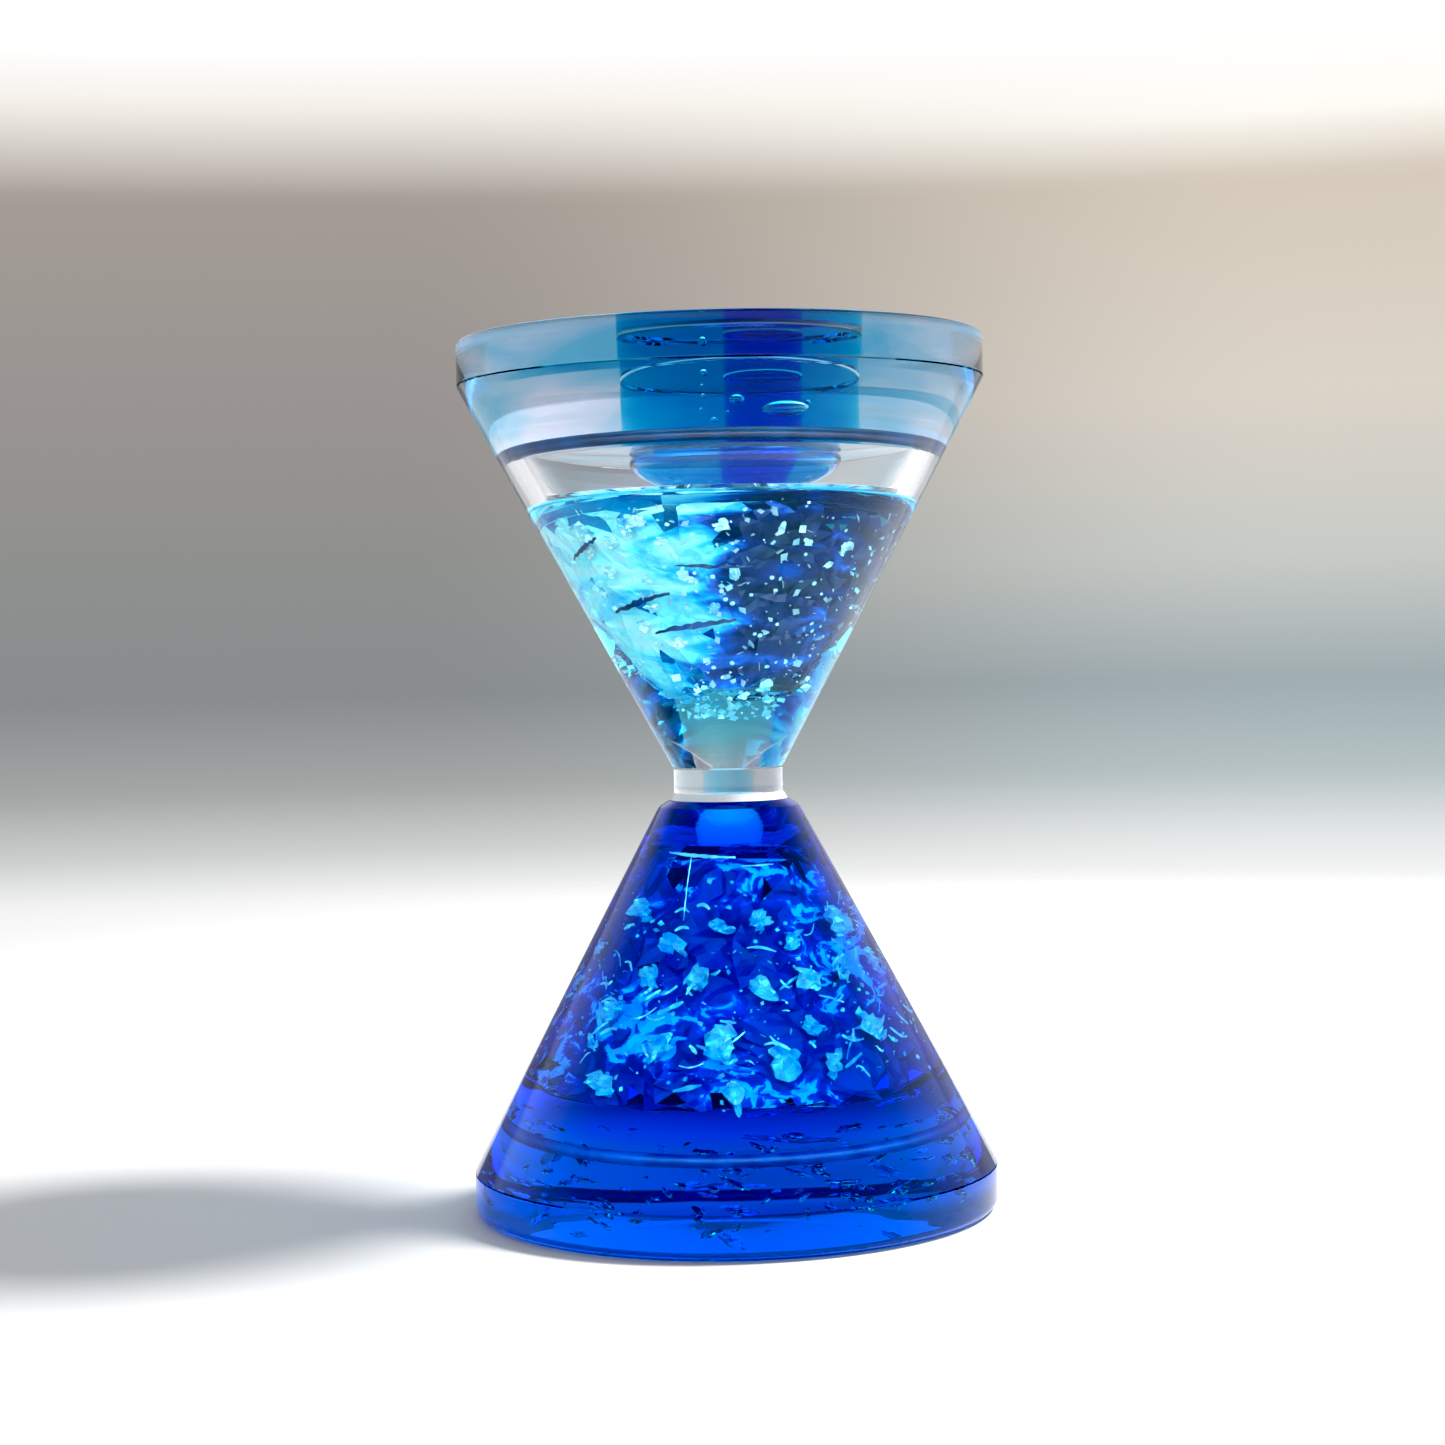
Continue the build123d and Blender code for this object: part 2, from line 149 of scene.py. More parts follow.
def make_world():
    """A plain studio cove: white floor level, a soft grey-beige band at eye level, white above. It is brighter to the right."""
    world = bpy.data.worlds.new("studio")
    scene.world = world
    world.use_nodes = True
    t = world.node_tree
    n, link = t.nodes, t.links
    n.clear()
    out = n.new("ShaderNodeOutputWorld")
    bg = n.new("ShaderNodeBackground")
    co = n.new("ShaderNodeTexCoord")
    sep = n.new("ShaderNodeSeparateXYZ")
    link.new(co.outputs["Generated"], sep.inputs[0])
    asin = n.new("ShaderNodeMath")
    asin.operation = "ARCSINE"
    link.new(sep.outputs["Z"], asin.inputs[0])
    el = n.new("ShaderNodeMapRange")          # -15 to +45 degrees onto 0 to 1
    el.inputs["From Min"].default_value = math.radians(-15)
    el.inputs["From Max"].default_value = math.radians(45)
    link.new(asin.outputs[0], el.inputs["Value"])
    p = lambda deg: (deg + 15) / 60
    left = ramp(t, [
        (p(-15), (0.95, 0.95, 0.96)), (p(-5.3), (0.95, 0.95, 0.96)), (p(-4.2), (0.62, 0.63, 0.62)), (p(-2.9), (0.38, 0.39, 0.38)),
        (p(-1.0), (0.26, 0.27, 0.275)), (p(1.5), (0.28, 0.285, 0.27)), (p(5), (0.33, 0.30, 0.29)), (p(9.3), (0.38, 0.34, 0.30)),
        (p(11.2), (0.92, 0.88, 0.82)), (p(12.2), (1.0, 1.0, 1.0)), (p(22), (1.0, 1.0, 1.0)), (p(32), (0.42, 0.42, 0.43)), (p(45), (0.34, 0.34, 0.36)),
    ])
    right = ramp(t, [
        (p(-15), (0.95, 0.95, 0.96)), (p(-5.3), (0.95, 0.95, 0.96)), (p(-4.2), (0.78, 0.80, 0.80)), (p(-2.9), (0.48, 0.55, 0.56)),
        (p(-1.0), (0.36, 0.42, 0.44)), (p(1.5), (0.58, 0.60, 0.57)), (p(5), (0.72, 0.66, 0.58)), (p(9.3), (0.68, 0.60, 0.50)),
        (p(10.6), (1.0, 0.98, 0.92)), (p(12.2), (1.0, 1.0, 1.0)), (p(24), (1.0, 1.0, 1.0)), (p(34), (0.5, 0.5, 0.5)), (p(45), (0.36, 0.36, 0.38)),
    ])
    link.new(el.outputs[0], left.inputs[0])
    link.new(el.outputs[0], right.inputs[0])
    side = n.new("ShaderNodeMapRange")
    side.interpolation_type = "SMOOTHSTEP"
    side.inputs["From Min"].default_value = -0.12
    side.inputs["From Max"].default_value = 0.22
    link.new(sep.outputs["X"], side.inputs["Value"])
    mix = n.new("ShaderNodeMix")
    mix.data_type = "RGBA"
    link.new(side.outputs[0], mix.inputs["Factor"])
    link.new(left.outputs[0], mix.inputs["A"])
    link.new(right.outputs[0], mix.inputs["B"])
    # the camera's side of the room, and overhead, is a large bright wall
    front = n.new("ShaderNodeMapRange")
    front.interpolation_type = "SMOOTHSTEP"
    front.inputs["From Min"].default_value = -0.15
    front.inputs["From Max"].default_value = 0.75
    front.inputs["To Min"].default_value = 0.0
    front.inputs["To Max"].default_value = 1.0
    dot = n.new("ShaderNodeVectorMath")
    dot.operation = "DOT_PRODUCT"
    dot.inputs[1].default_value = (0.25, -0.80, 0.55)
    link.new(co.outputs["Generated"], dot.inputs[0])
    link.new(dot.outputs["Value"], front.inputs["Value"])
    path = n.new("ShaderNodeLightPath")
    inner = n.new("ShaderNodeMath")
    inner.operation = "MULTIPLY"
    link.new(front.outputs[0], inner.inputs[0])
    link.new(path.outputs["Is Transmission Ray"], inner.inputs[1])
    wall = n.new("ShaderNodeMix")
    wall.data_type = "RGBA"
    link.new(inner.outputs[0], wall.inputs["Factor"])
    link.new(mix.outputs["Result"], wall.inputs["A"])
    wall.inputs["B"].default_value = (5.0, 5.0, 5.0, 1)
    link.new(wall.outputs["Result"], bg.inputs["Color"])
    bg.inputs["Strength"].default_value = 1.0
    link.new(bg.outputs[0], out.inputs[0])


make_world()


def area(name, at, aim, size, power, colour=(1, 1, 1), size_y=None):
    data = bpy.data.lights.new(name, "AREA")
    data.energy, data.color = power, colour
    data.shape = "RECTANGLE" if size_y else "DISK"
    data.size = size
    if size_y:
        data.size_y = size_y
    o = bpy.data.objects.new(name, data)
    scene.collection.objects.link(o)
    o.location = at
    o.rotation_mode = "QUATERNION"
    o.rotation_quaternion = (Vector(aim) - Vector(at)).to_track_quat("-Z", "Y")
    o.visible_camera = False
    o.visible_glossy = False
    o.visible_transmission = False
    return o


area("key", (0.34, 0.03, 0.56), (0, 0, 0.03), 0.16, 7.0, (1.0, 0.985, 0.96))


def make_floor():
    mesh = bpy.data.meshes.new("floor")
    bm = bmesh.new()
    bmesh.ops.create_circle(bm, cap_ends=True, radius=0.47, segments=128)
    bm.to_mesh(mesh)
    bm.free()
    floor = bpy.data.objects.new("floor", mesh)
    scene.collection.objects.link(floor)
    floor.location = (0, 0, -0.00006)
    m = bpy.data.materials.new("floor")
    m.use_nodes = True
    t = m.node_tree
    n, link = t.nodes, t.links
    b = n["Principled BSDF"]
    b.inputs["Roughness"].default_value = 0.75
    b.inputs["Base Color"].default_value = (0.86, 0.865, 0.87, 1)
    fine = n.new("ShaderNodeTexNoise")
    fine.inputs["Scale"].default_value = 900
    bump = n.new("ShaderNodeBump")
    bump.inputs["Strength"].default_value = 0.05
    bump.inputs["Distance"].default_value = 0.0002
    link.new(fine.outputs["Fac"], bump.inputs["Height"])
    link.new(bump.outputs[0], b.inputs["Normal"])
    # the sheet ends softly, so that no hard edge shows beyond it
    co = n.new("ShaderNodeTexCoord")
    length = n.new("ShaderNodeVectorMath")
    length.operation = "LENGTH"
    link.new(co.outputs["Object"], length.inputs[0])
    fade = n.new("ShaderNodeMapRange")
    fade.interpolation_type = "SMOOTHSTEP"
    fade.inputs["From Min"].default_value = 0.34
    fade.inputs["From Max"].default_value = 0.465
    link.new(length.outputs["Value"], fade.inputs["Value"])
    clear = n.new("ShaderNodeBsdfTransparent")
    mix = n.new("ShaderNodeMixShader")
    link.new(fade.outputs[0], mix.inputs[0])
    link.new(b.outputs[0], mix.inputs[1])
    link.new(clear.outputs[0], mix.inputs[2])
    link.new(mix.outputs[0], n["Material Output"].inputs["Surface"])
    mesh.materials.append(m)


make_floor()


# ------------------------------------------------------------------ mesh helpers
def arc(cx, cz, radius, a0, a1, steps):
    return [
        (
            cx + radius * math.cos(math.radians(a0 + (a1 - a0) * k / steps)),
            cz + radius * math.sin(math.radians(a0 + (a1 - a0) * k / steps)),
        )
        for k in range(steps + 1)
    ]


def lathe(name, rings, materials, segments=224, closed=True, sharp=28):
    """Revolves rings [(r, z, slot), ...] in mm about Z. slot is that of the band from this ring to the next. r of 0 is a pole."""
    bm = bmesh.new()
    made = []
    for r, z, *_ in rings:
        if r < 1e-6:
            made.append([bm.verts.new((0, 0, z * MM))])
        else:
            made.append([
                bm.verts.new((
                    r * MM * math.cos(2 * math.pi * k / segments),
                    r * MM * math.sin(2 * math.pi * k / segments),
                    z * MM,
                ))
                for k in range(segments)
            ])
    count = len(rings)
    for i in range(count if closed else count - 1):
        a, b = made[i], made[(i + 1) % count]
        slot = rings[i][2] if len(rings[i]) > 2 else 0
        if len(a) == 1 and len(b) == 1:
            continue
        for k in range(segments):
            k2 = (k + 1) % segments
            if len(a) == 1:
                f = bm.faces.new((a[0], b[k2], b[k]))
            elif len(b) == 1:
                f = bm.faces.new((a[k], a[k2], b[0]))
            else:
                f = bm.faces.new((a[k], a[k2], b[k2], b[k]))
            f.material_index = slot
            f.smooth = True
    bmesh.ops.recalc_face_normals(bm, faces=bm.faces)
    mesh = bpy.data.meshes.new(name)
    bm.to_mesh(mesh)
    bm.free()
    for m in materials:
        mesh.materials.append(m)
    mesh.set_sharp_from_angle(angle=math.radians(sharp))
    o = bpy.data.objects.new(name, mesh)
    scene.collection.objects.link(o)
    return o


def densify(rings, step):
    """Splits long straight bands, so that surface relief and shading have points to work on."""
    out = []
    for i, a in enumerate(rings):
        b = rings[(i + 1) % len(rings)]
        n = max(1, int(math.hypot(b[0] - a[0], b[1] - a[1]) / step))
        for k in range(n):
            t = k / n
            out.append((a[0] + (b[0] - a[0]) * t, a[1] + (b[1] - a[1]) * t, a[2]))
    return out


# ------------------------------------------------------------------ materials
def absorb(tree, sigma):
    """Plain absorption, per metre, for red, green and blue."""
    density = max(max(sigma), 1e-6)
    v = tree.nodes.new("ShaderNodeVolumeAbsorption")
    v.inputs["Density"].default_value = density
    v.inputs["Color"].default_value = (*[1 - s / density for s in sigma], 1)
    tree.links.new(v.outputs[0], tree.nodes["Material Output"].inputs["Volume"])


def clear(name, ior, sigma=None, rough=(0.0, 0.02), ripple=0.0, scale=60.0, stretch=(1, 1, 1), tint=(1, 1, 1), detail=2.0,
          gloss=(1, 1, 1), level=0.5):
    m = bpy.data.materials.new(name)
    m.use_nodes = True
    t = m.node_tree
    n, link = t.nodes, t.links
    b = n["Principled BSDF"]
    b.inputs["Base Color"].default_value = (*tint, 1)
    b.inputs["Transmission Weight"].default_value = 1.0
    b.inputs["IOR"].default_value = ior
    b.inputs["Specular Tint"].default_value = (*gloss, 1)
    b.inputs["Specular IOR Level"].default_value = level
    co = n.new("ShaderNodeTexCoord")
    place = n.new("ShaderNodeMapping")
    place.inputs["Scale"].default_value = stretch
    link.new(co.outputs["Object"], place.inputs[0])
    if rough[1] > 0:
        smear = n.new("ShaderNodeTexNoise")
        smear.inputs["Scale"].default_value = 90
        smear.inputs["Detail"].default_value = 4
        link.new(place.outputs[0], smear.inputs["Vector"])
        level = n.new("ShaderNodeMapRange")
        level.inputs["From Min"].default_value = 0.45
        level.inputs["From Max"].default_value = 0.75
        level.inputs["To Min"].default_value = rough[0]
        level.inputs["To Max"].default_value = rough[1]
        link.new(smear.outputs["Fac"], level.inputs["Value"])
        link.new(level.outputs[0], b.inputs["Roughness"])
    else:
        b.inputs["Roughness"].default_value = 0.0
    if ripple > 0:
        wave = n.new("ShaderNodeTexNoise")
        wave.inputs["Scale"].default_value = scale
        wave.inputs["Detail"].default_value = detail
        link.new(place.outputs[0], wave.inputs["Vector"])
        bump = n.new("ShaderNodeBump")
        bump.inputs["Strength"].default_value = 1.0
        bump.inputs["Distance"].default_value = ripple
        link.new(wave.outputs["Fac"], bump.inputs["Height"])
        link.new(bump.outputs[0], b.inputs["Normal"])
    if sigma:
        absorb(t, sigma)
    return m


CLEAR_SIGMA = (15.0, 13.5, 9.5)
TINT_SIGMA = (330.0, 48.0, 5.0)
UPPER_SIGMA = (130.0, 14.0, 2.0)
LOWER_SIGMA = (420.0, 150.0, 6.0)
PLUG_SIGMA = (520.0, 80.0, 30.0)
PIN_SIGMA = (1600.0, 620.0, 50.0)
GLOSS_TINT = (0.12, 0.60, 1.0)

resin = clear("clear_resin", RESIN_IOR, CLEAR_SIGMA, (0.0, 0.03), 0.00006, 45, (1, 1, 2.2), gloss=(0.8, 0.88, 1.0), level=0.4)
cone_resin = clear("cone_resin", RESIN_IOR, CLEAR_SIGMA, (0.0, 0.03), 0.00006, 45, (1, 1, 2.2), gloss=(0.25, 0.5, 0.8), level=0.3)
cap_resin = clear("cap_resin", RESIN_IOR, CLEAR_SIGMA, (0.0, 0.05), 0.00006, 45, (1, 1, 2.2), gloss=(0.8, 0.88, 1.0), level=0.4)
# painted reflection: teal blotches, fading to clear white, are painted into the upper cap's tint in noise patches, in
# place of reflections of the teal filler plug
cap_teal_reflection_noise = cap_resin.node_tree.nodes.new("ShaderNodeTexNoise")
cap_teal_reflection_noise.inputs["Scale"].default_value = 26
cap_teal_reflection_noise.inputs["Detail"].default_value = 5
cap_teal_reflection_noise.inputs["Distortion"].default_value = 0.6
cap_teal_reflection_at = cap_resin.node_tree.nodes.new("ShaderNodeTexCoord")
cap_teal_reflection_place = cap_resin.node_tree.nodes.new("ShaderNodeMapping")
cap_teal_reflection_place.inputs["Scale"].default_value = (1, 1, 3.5)
cap_teal_reflection_tone = ramp(cap_resin.node_tree, [(0.38, (0.05, 0.55, 0.80)), (0.50, (0.45, 0.82, 0.92)), (0.58, (1.0, 1.0, 1.0))])
for a, b in ((cap_teal_reflection_at.outputs["Object"], cap_teal_reflection_place.inputs[0]), (cap_teal_reflection_place.outputs[0], cap_teal_reflection_noise.inputs["Vector"]),
             (cap_teal_reflection_noise.outputs["Fac"], cap_teal_reflection_tone.inputs[0]),
             (cap_teal_reflection_tone.outputs[0], cap_resin.node_tree.nodes["Principled BSDF"].inputs["Base Color"])):
    cap_resin.node_tree.links.new(a, b)
resin_dry = clear("clear_resin_inside", RESIN_IOR, CLEAR_SIGMA, (0, 0))
resin_seam = clear("clear_resin_bonded", 1.002, CLEAR_SIGMA, (0, 0))
resin_wet = clear("clear_resin_wetted", 1.008, CLEAR_SIGMA, (0, 0), 0.00008, 70, (1, 1, 2.5))
tinted = clear("cobalt_resin", RESIN_IOR, TINT_SIGMA, (0.0, 0.03), 0.00006, 45, (1, 1, 2.2), gloss=GLOSS_TINT, level=0.5)
tinted_seam = clear("cobalt_resin_bonded", 1.002, TINT_SIGMA, (0, 0))
tinted_wet = clear("cobalt_resin_wetted", 1.004, TINT_SIGMA, (0, 0), 0.00008, 70, (1, 1, 2.5))
up_wall = clear("cyan_liquid_wall", 1.0, UPPER_SIGMA, (0, 0))
up_surface = clear("cyan_liquid_surface", LIQUID_IOR, UPPER_SIGMA, (0, 0), 0.00005, 120)
low_wall = clear("cobalt_liquid", 1.0, LOWER_SIGMA, (0, 0))

# ------------------------------------------------------------------ clear upper cone
SEAL_Z_UP = (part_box("upper_cap_seal")[0].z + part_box("upper_cap_seal")[1].z) / 2 / MM
FUNNEL, THROAT_Z, THROAT_R, TIP_R, SEAT_R = 58.8, 54.2, 3.05, 1.25, 2.03
NOZZLE_TOP = 52.0

upper_shell = lathe("upper_cone", densify([
    (NECK_R, Z_NECK_TOP, 0),
    (R - 0.03, Z_UP, 1),
    (ui(Z_UP), Z_UP, 1),
    (ui(Z_USPIGOT), Z_USPIGOT, 0),
    (ui(LEVEL + 0.02), LEVEL + 0.02, 2),
    (ui(FUNNEL), FUNNEL, 2),
    (THROAT_R, THROAT_Z, 2),
    (TIP_R, NOZZLE_TOP, 1),
    (SEAT_R, NOZZLE_TOP, 1),
    (SEAT_R, Z_NECK_TOP, 1),
], 1.5), [cone_resin, resin_seam, resin_wet], sharp=12)
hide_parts("upper_cone_shell")
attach(upper_shell, "vessel")

# ------------------------------------------------------------------ cobalt lower cone
DISH = 2.1
DISH_SPHERE = (NECK_R**2 + DISH**2) / (2 * DISH)
DISH_CENTRE = Z_NECK_FOOT - DISH + DISH_SPHERE


def dish_z(r, film=0.0):
    return DISH_CENTRE - math.sqrt((DISH_SPHERE - film) ** 2 - r**2)


SHOULDER_IN = 41.2
roof_curve = []
r0, r1 = 4.4, li(SHOULDER_IN)
for k in range(9):
    a = math.radians(90 * (1 - k / 8))
    roof_curve.append((r0 + (r1 - r0) * math.cos(a), SHOULDER_IN + (ROOF - SHOULDER_IN) * math.sin(a), 2))

lower_shell = lathe("lower_cone", densify([
    (R - 0.03, Z_LOW, 0),
    (lo_(Z_NECK_FOOT - 1.3), Z_NECK_FOOT - 1.3, 0),
    (lo_(Z_NECK_FOOT - 0.75) - 0.05, Z_NECK_FOOT - 0.75, 0),
    (lo_(Z_NECK_FOOT) - 0.35, Z_NECK_FOOT - 0.28, 0),
    (SHOULDER_R - 0.75, Z_NECK_FOOT - 0.05, 0),
    (NECK_R + 0.15, Z_NECK_FOOT, 0),
    (NECK_R, Z_NECK_FOOT, 0),
    *[(NECK_R + (SEAT_R - NECK_R) * k / 10, dish_z(NECK_R + (SEAT_R - NECK_R) * k / 10), 0) for k in range(1, 10)],
    (SEAT_R, dish_z(SEAT_R), 1),
    (SEAT_R, ROOF, 1),
    *roof_curve,
    (li(Z_LSPIGOT), Z_LSPIGOT, 1),
    (li(Z_LOW), Z_LOW, 1),
], 1.5), [tinted, tinted_seam, tinted_wet], sharp=12)
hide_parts("lower_cone_shell")
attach(lower_shell, "vessel")

# ------------------------------------------------------------------ end caps
EDGE = 0.45


def cap_rings(t, spigot_depth, bore, edge=EDGE):
    """Rings of a cap by radius and depth below its resting face; t turns a depth into a height."""
    rings = [(0.0, 0.0, 0), (22.0, 0.0, 0)]
    rings += [(R - edge + edge * math.sin(math.radians(a)), edge - edge * math.cos(math.radians(a)), 0) for a in range(0, 91, 10)]
    rings += [
        (R, 4.72, 0), (R - 0.03, 4.9, 1),
        (bore(5.1) - 0.10, 4.9, 1),
        (bore(5.1) - 0.10, 5.1, 1),
        (bore(spigot_depth - 0.3) - 0.10, spigot_depth - 0.3, 1),
        (bore(spigot_depth) - 0.40, spigot_depth, 2),
        (0.0, spigot_depth, 2),
    ]
    return [(r, t(d), k) for r, d, k in rings]


def carve(target, cutter):
    """Cuts cutter out of target for good, and removes it."""
    bpy.context.view_layer.update()
    mod = target.modifiers.new("cut", "BOOLEAN")
    mod.operation, mod.object, mod.solver = "DIFFERENCE", cutter, "EXACT"
    mod.material_mode = "TRANSFER"
    bpy.context.view_layer.update()
    dg = bpy.context.evaluated_depsgraph_get()
    mesh = bpy.data.meshes.new_from_object(target.evaluated_get(dg), preserve_all_data_layers=True, depsgraph=dg)
    target.modifiers.clear()
    mesh.set_sharp_from_angle(angle=math.radians(20))
    old = target.data
    target.data = mesh
    bpy.data.meshes.remove(old)
    bpy.data.objects.remove(cutter)


def post(name, x, r, z0, z1, material, segments=160):
    o = lathe(name, [(0, z0, 0), (r, z0, 0), (r, z1, 0), (0, z1, 0)], [material], segments, closed=False)
    for v in o.data.vertices:
        v.co.x += x * MM
    return o


plug_lo, plug_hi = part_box("upper_filler_plug")
pin_lo, pin_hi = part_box("plug_pin")
PLUG_X = (plug_lo.x + plug_hi.x) / 2 / MM
PLUG_LIP = (plug_hi.x - plug_lo.x) / 2 / MM
PLUG_FOOT = plug_lo.z / MM
PLUG_STEM = 9.46
PIN_X = (pin_lo.x + pin_hi.x) / 2 / MM
PIN_R = (pin_hi.x - pin_lo.x) / 2 / MM
PIN_FOOT = pin_lo.z / MM

def bubbles(o, spots, crumple=0.0, seed=1):
    """Closed air bubbles inside a resin piece: (x, y, z, radius, stretch in x), in mm. A crumpled one has flat, bright facets."""
    rng = random.Random(seed)
    bm = bmesh.new()
    bm.from_mesh(o.data)
    for x, y, z, r, wide in spots:
        made = bmesh.ops.create_icosphere(bm, subdivisions=2 if crumple else 3, radius=r * MM)
        turn = Matrix.Rotation(rng.uniform(-0.7, 0.7), 3, "Y") @ Matrix.Rotation(rng.uniform(0, 3.14), 3, "Z") if crumple else Matrix.Identity(3)
        for v in made["verts"]:
            p = v.co * (1 + rng.uniform(-crumple, crumple))
            if crumple:
                p = turn @ Vector((p.x * wide, p.y, p.z * 0.45))
            else:
                p = Vector((p.x * wide, p.y, p.z))
            v.co = p + Vector((x, y, z)) * MM
        inside = {f for v in made["verts"] for f in v.link_faces}
        for f in inside:
            f.smooth = not crumple
            f.material_index = 0
        bmesh.ops.reverse_faces(bm, faces=list(inside))
    bm.to_mesh(o.data)
    bm.free()


upper_cap = lathe("upper_cap", cap_rings(lambda d: H - d, H - Z_USPIGOT, lambda d: ui(H - d)),
                  [cap_resin, resin_seam, resin_dry], closed=False, sharp=20)
carve(upper_cap, post("cap_bore", PLUG_X, PLUG_STEM + 0.04, Z_USPIGOT - 2, H + 2, resin_seam))
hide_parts("upper_end_cap")
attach(upper_cap, "vessel")

lower_cap = lathe("lower_cap", cap_rings(lambda d: d, Z_LSPIGOT, lambda d: li(d), 1.3),
                  [tinted, tinted_seam, tinted_wet], closed=False, sharp=20)
rng_base = random.Random(21)
spots = []
for _ in range(210):
    t, z = rng_base.uniform(0, 2 * math.pi), rng_base.uniform(1.6, Z_LSPIGOT - 1.2)
    r = (26.0 if z < 5.4 else li(z) - 3.0) * rng_base.uniform(0.35, 1.0) ** 0.5
    spots.append((r * math.cos(t), r * math.sin(t), z, rng_base.choice((0.2, 0.28, 0.4, 0.55, 0.75)), rng_base.uniform(1.0, 2.6)))
bubbles(lower_cap, spots, 0.3, 5)
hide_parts("lower_end_cap")
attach(lower_cap, "vessel")

plug_resin = clear("plug_resin", RESIN_IOR, PLUG_SIGMA, (0.0, 0.03), 0.00005, 60)
plug_seam = clear("plug_resin_bonded", 1.002, PLUG_SIGMA, (0, 0))
pin_resin = clear("pin_resin", RESIN_IOR, PIN_SIGMA, (0.0, 0.03), 0.00005, 60)
pin_seam = clear("pin_resin_bonded", 1.002, PIN_SIGMA, (0, 0))

lip = []
for k in range(13):                        # the lip's domed underside
    a = math.radians(90 * k / 12)
    lip.append((3.2 + (PLUG_LIP - 3.2) * math.cos(a), PLUG_FOOT + (Z_USPIGOT - 0.5 - PLUG_FOOT) * (1 - math.sin(a)), 0))
filler_plug = lathe("filler_plug", [
    (0, H - 0.05, 0), (PLUG_STEM - 0.3, H - 0.05, 0), (PLUG_STEM - 0.09, H - 0.14, 0), (PLUG_STEM, H - 0.35, 1),
    (PLUG_STEM, Z_USPIGOT - 0.02, 0), (PLUG_LIP - 0.4, Z_USPIGOT - 0.05, 0), (PLUG_LIP - 0.1, Z_USPIGOT - 0.18, 0),
    *lip, (0, PLUG_FOOT, 0),
], [plug_resin, plug_seam], closed=False, sharp=35)
for v in filler_plug.data.vertices:
    v.co.x += PLUG_X * MM
carve(filler_plug, post("pin_bore", PIN_X, PIN_R + 0.04, PIN_FOOT - 0.04, H + 2, plug_seam))


bubbles(filler_plug, [
    (5.6, -7.0, 94.4, 0.95, 2.2), (7.4, -5.4, 95.4, 0.28, 1.0), (1.4, -8.0, 95.4, 0.55, 1.3), (-1.4, -7.6, 98.6, 0.45, 1.0),
    (-1.6, -8.0, 97.0, 0.22, 1.0), (-1.5, -8.0, 95.8, 0.30, 1.0), (-1.7, -8.1, 94.2, 0.20, 1.0), (-0.6, -8.3, 92.9, 0.34, 1.0),
    (-1.9, -8.0, 91.4, 0.18, 1.0), (-1.2, -8.2, 90.0, 0.26, 1.0), (0.6, -8.2, 93.8, 0.20, 1.0),
])
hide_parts("upper_filler_plug")
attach(filler_plug, "vessel")

pin = lathe("closing_pin", [
    (0, PIN_FOOT, 1), (PIN_R - 0.3, PIN_FOOT, 1), (PIN_R, PIN_FOOT + 0.3, 1),
    (PIN_R, H - 0.35, 0), (PIN_R - 0.08, H - 0.15, 0), (PIN_R - 0.27, H - 0.07, 0), (0, H - 0.07, 0),
], [pin_resin, pin_seam], closed=False, sharp=35)
for v in pin.data.vertices:
    v.co.x += PIN_X * MM
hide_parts("plug_pin")
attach(pin, "vessel")

# ------------------------------------------------------------------ liquids
G = 0.04
upper_liquid = lathe("upper_liquid_fill", densify([
    (0, LEVEL, 1),
    (ui(LEVEL) - 1.1, LEVEL + 0.0, 1),
    (ui(LEVEL) - 0.55, LEVEL + 0.06, 1),
    (ui(LEVEL) - 0.22, LEVEL + 0.24, 1),
    (ui(LEVEL + 0.55) - G, LEVEL + 0.55, 0),
    (ui(FUNNEL) - G, FUNNEL, 0),
    (THROAT_R - G, THROAT_Z, 0),
    (TIP_R - G, NOZZLE_TOP, 0),
    (0.55, 51.1, 0),
    (0.55, 42.95, 0),
    (0, 42.95, 0),
], 1.5)[:-1] + [(0, 42.95, 0)], [up_wall, up_surface], closed=False, sharp=40)
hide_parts("upper_liquid")
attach(upper_liquid, "vessel")

lower_liquid = lathe("lower_liquid_fill", [
    (0, 42.85, 0), (1.3, 42.85, 0), (2.05, ROOF - G, 0),
    *[(max(r - G, 0), z - G, 0) for r, z, _ in roof_curve],
    (li(Z_LSPIGOT) - G, Z_LSPIGOT + G, 0),
    (0, Z_LSPIGOT + G, 0),
], [low_wall], closed=False, sharp=40)
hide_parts("lower_liquid")
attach(lower_liquid, "vessel")

# ------------------------------------------------------------------ neck
collar = lathe("neck_spool", densify([
    (NECK_R - 0.15, dish_z(NECK_R - 0.15, 0.15), 0),
    (NECK_R - 0.05, Z_NECK_FOOT + 0.35, 0),
    (NECK_R - 0.05, Z_NECK_TOP - 0.2, 1),
    (SEAT_R, Z_NECK_TOP - 0.2, 1),
    (SEAT_R, dish_z(SEAT_R, 0.15), 0),
    *[(SEAT_R + (NECK_R - 0.15 - SEAT_R) * k / 10, dish_z(SEAT_R + (NECK_R - 0.15 - SEAT_R) * k / 10, 0.15), 0) for k in range(1, 10)],
], 1.0), [resin, resin_seam], sharp=30)
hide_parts("neck_collar")
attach(collar, "vessel")



# ------------------------------------------------------------------ seals, adhesive films, nozzle
def solid(name, colour, rough=0.3, metal=0.0, ior=1.5):
    m = bpy.data.materials.new(name)
    m.use_nodes = True
    b = m.node_tree.nodes["Principled BSDF"]
    b.inputs["Base Color"].default_value = (*colour, 1)
    b.inputs["Roughness"].default_value = rough
    b.inputs["Metallic"].default_value = metal
    b.inputs["IOR"].default_value = ior
    return m


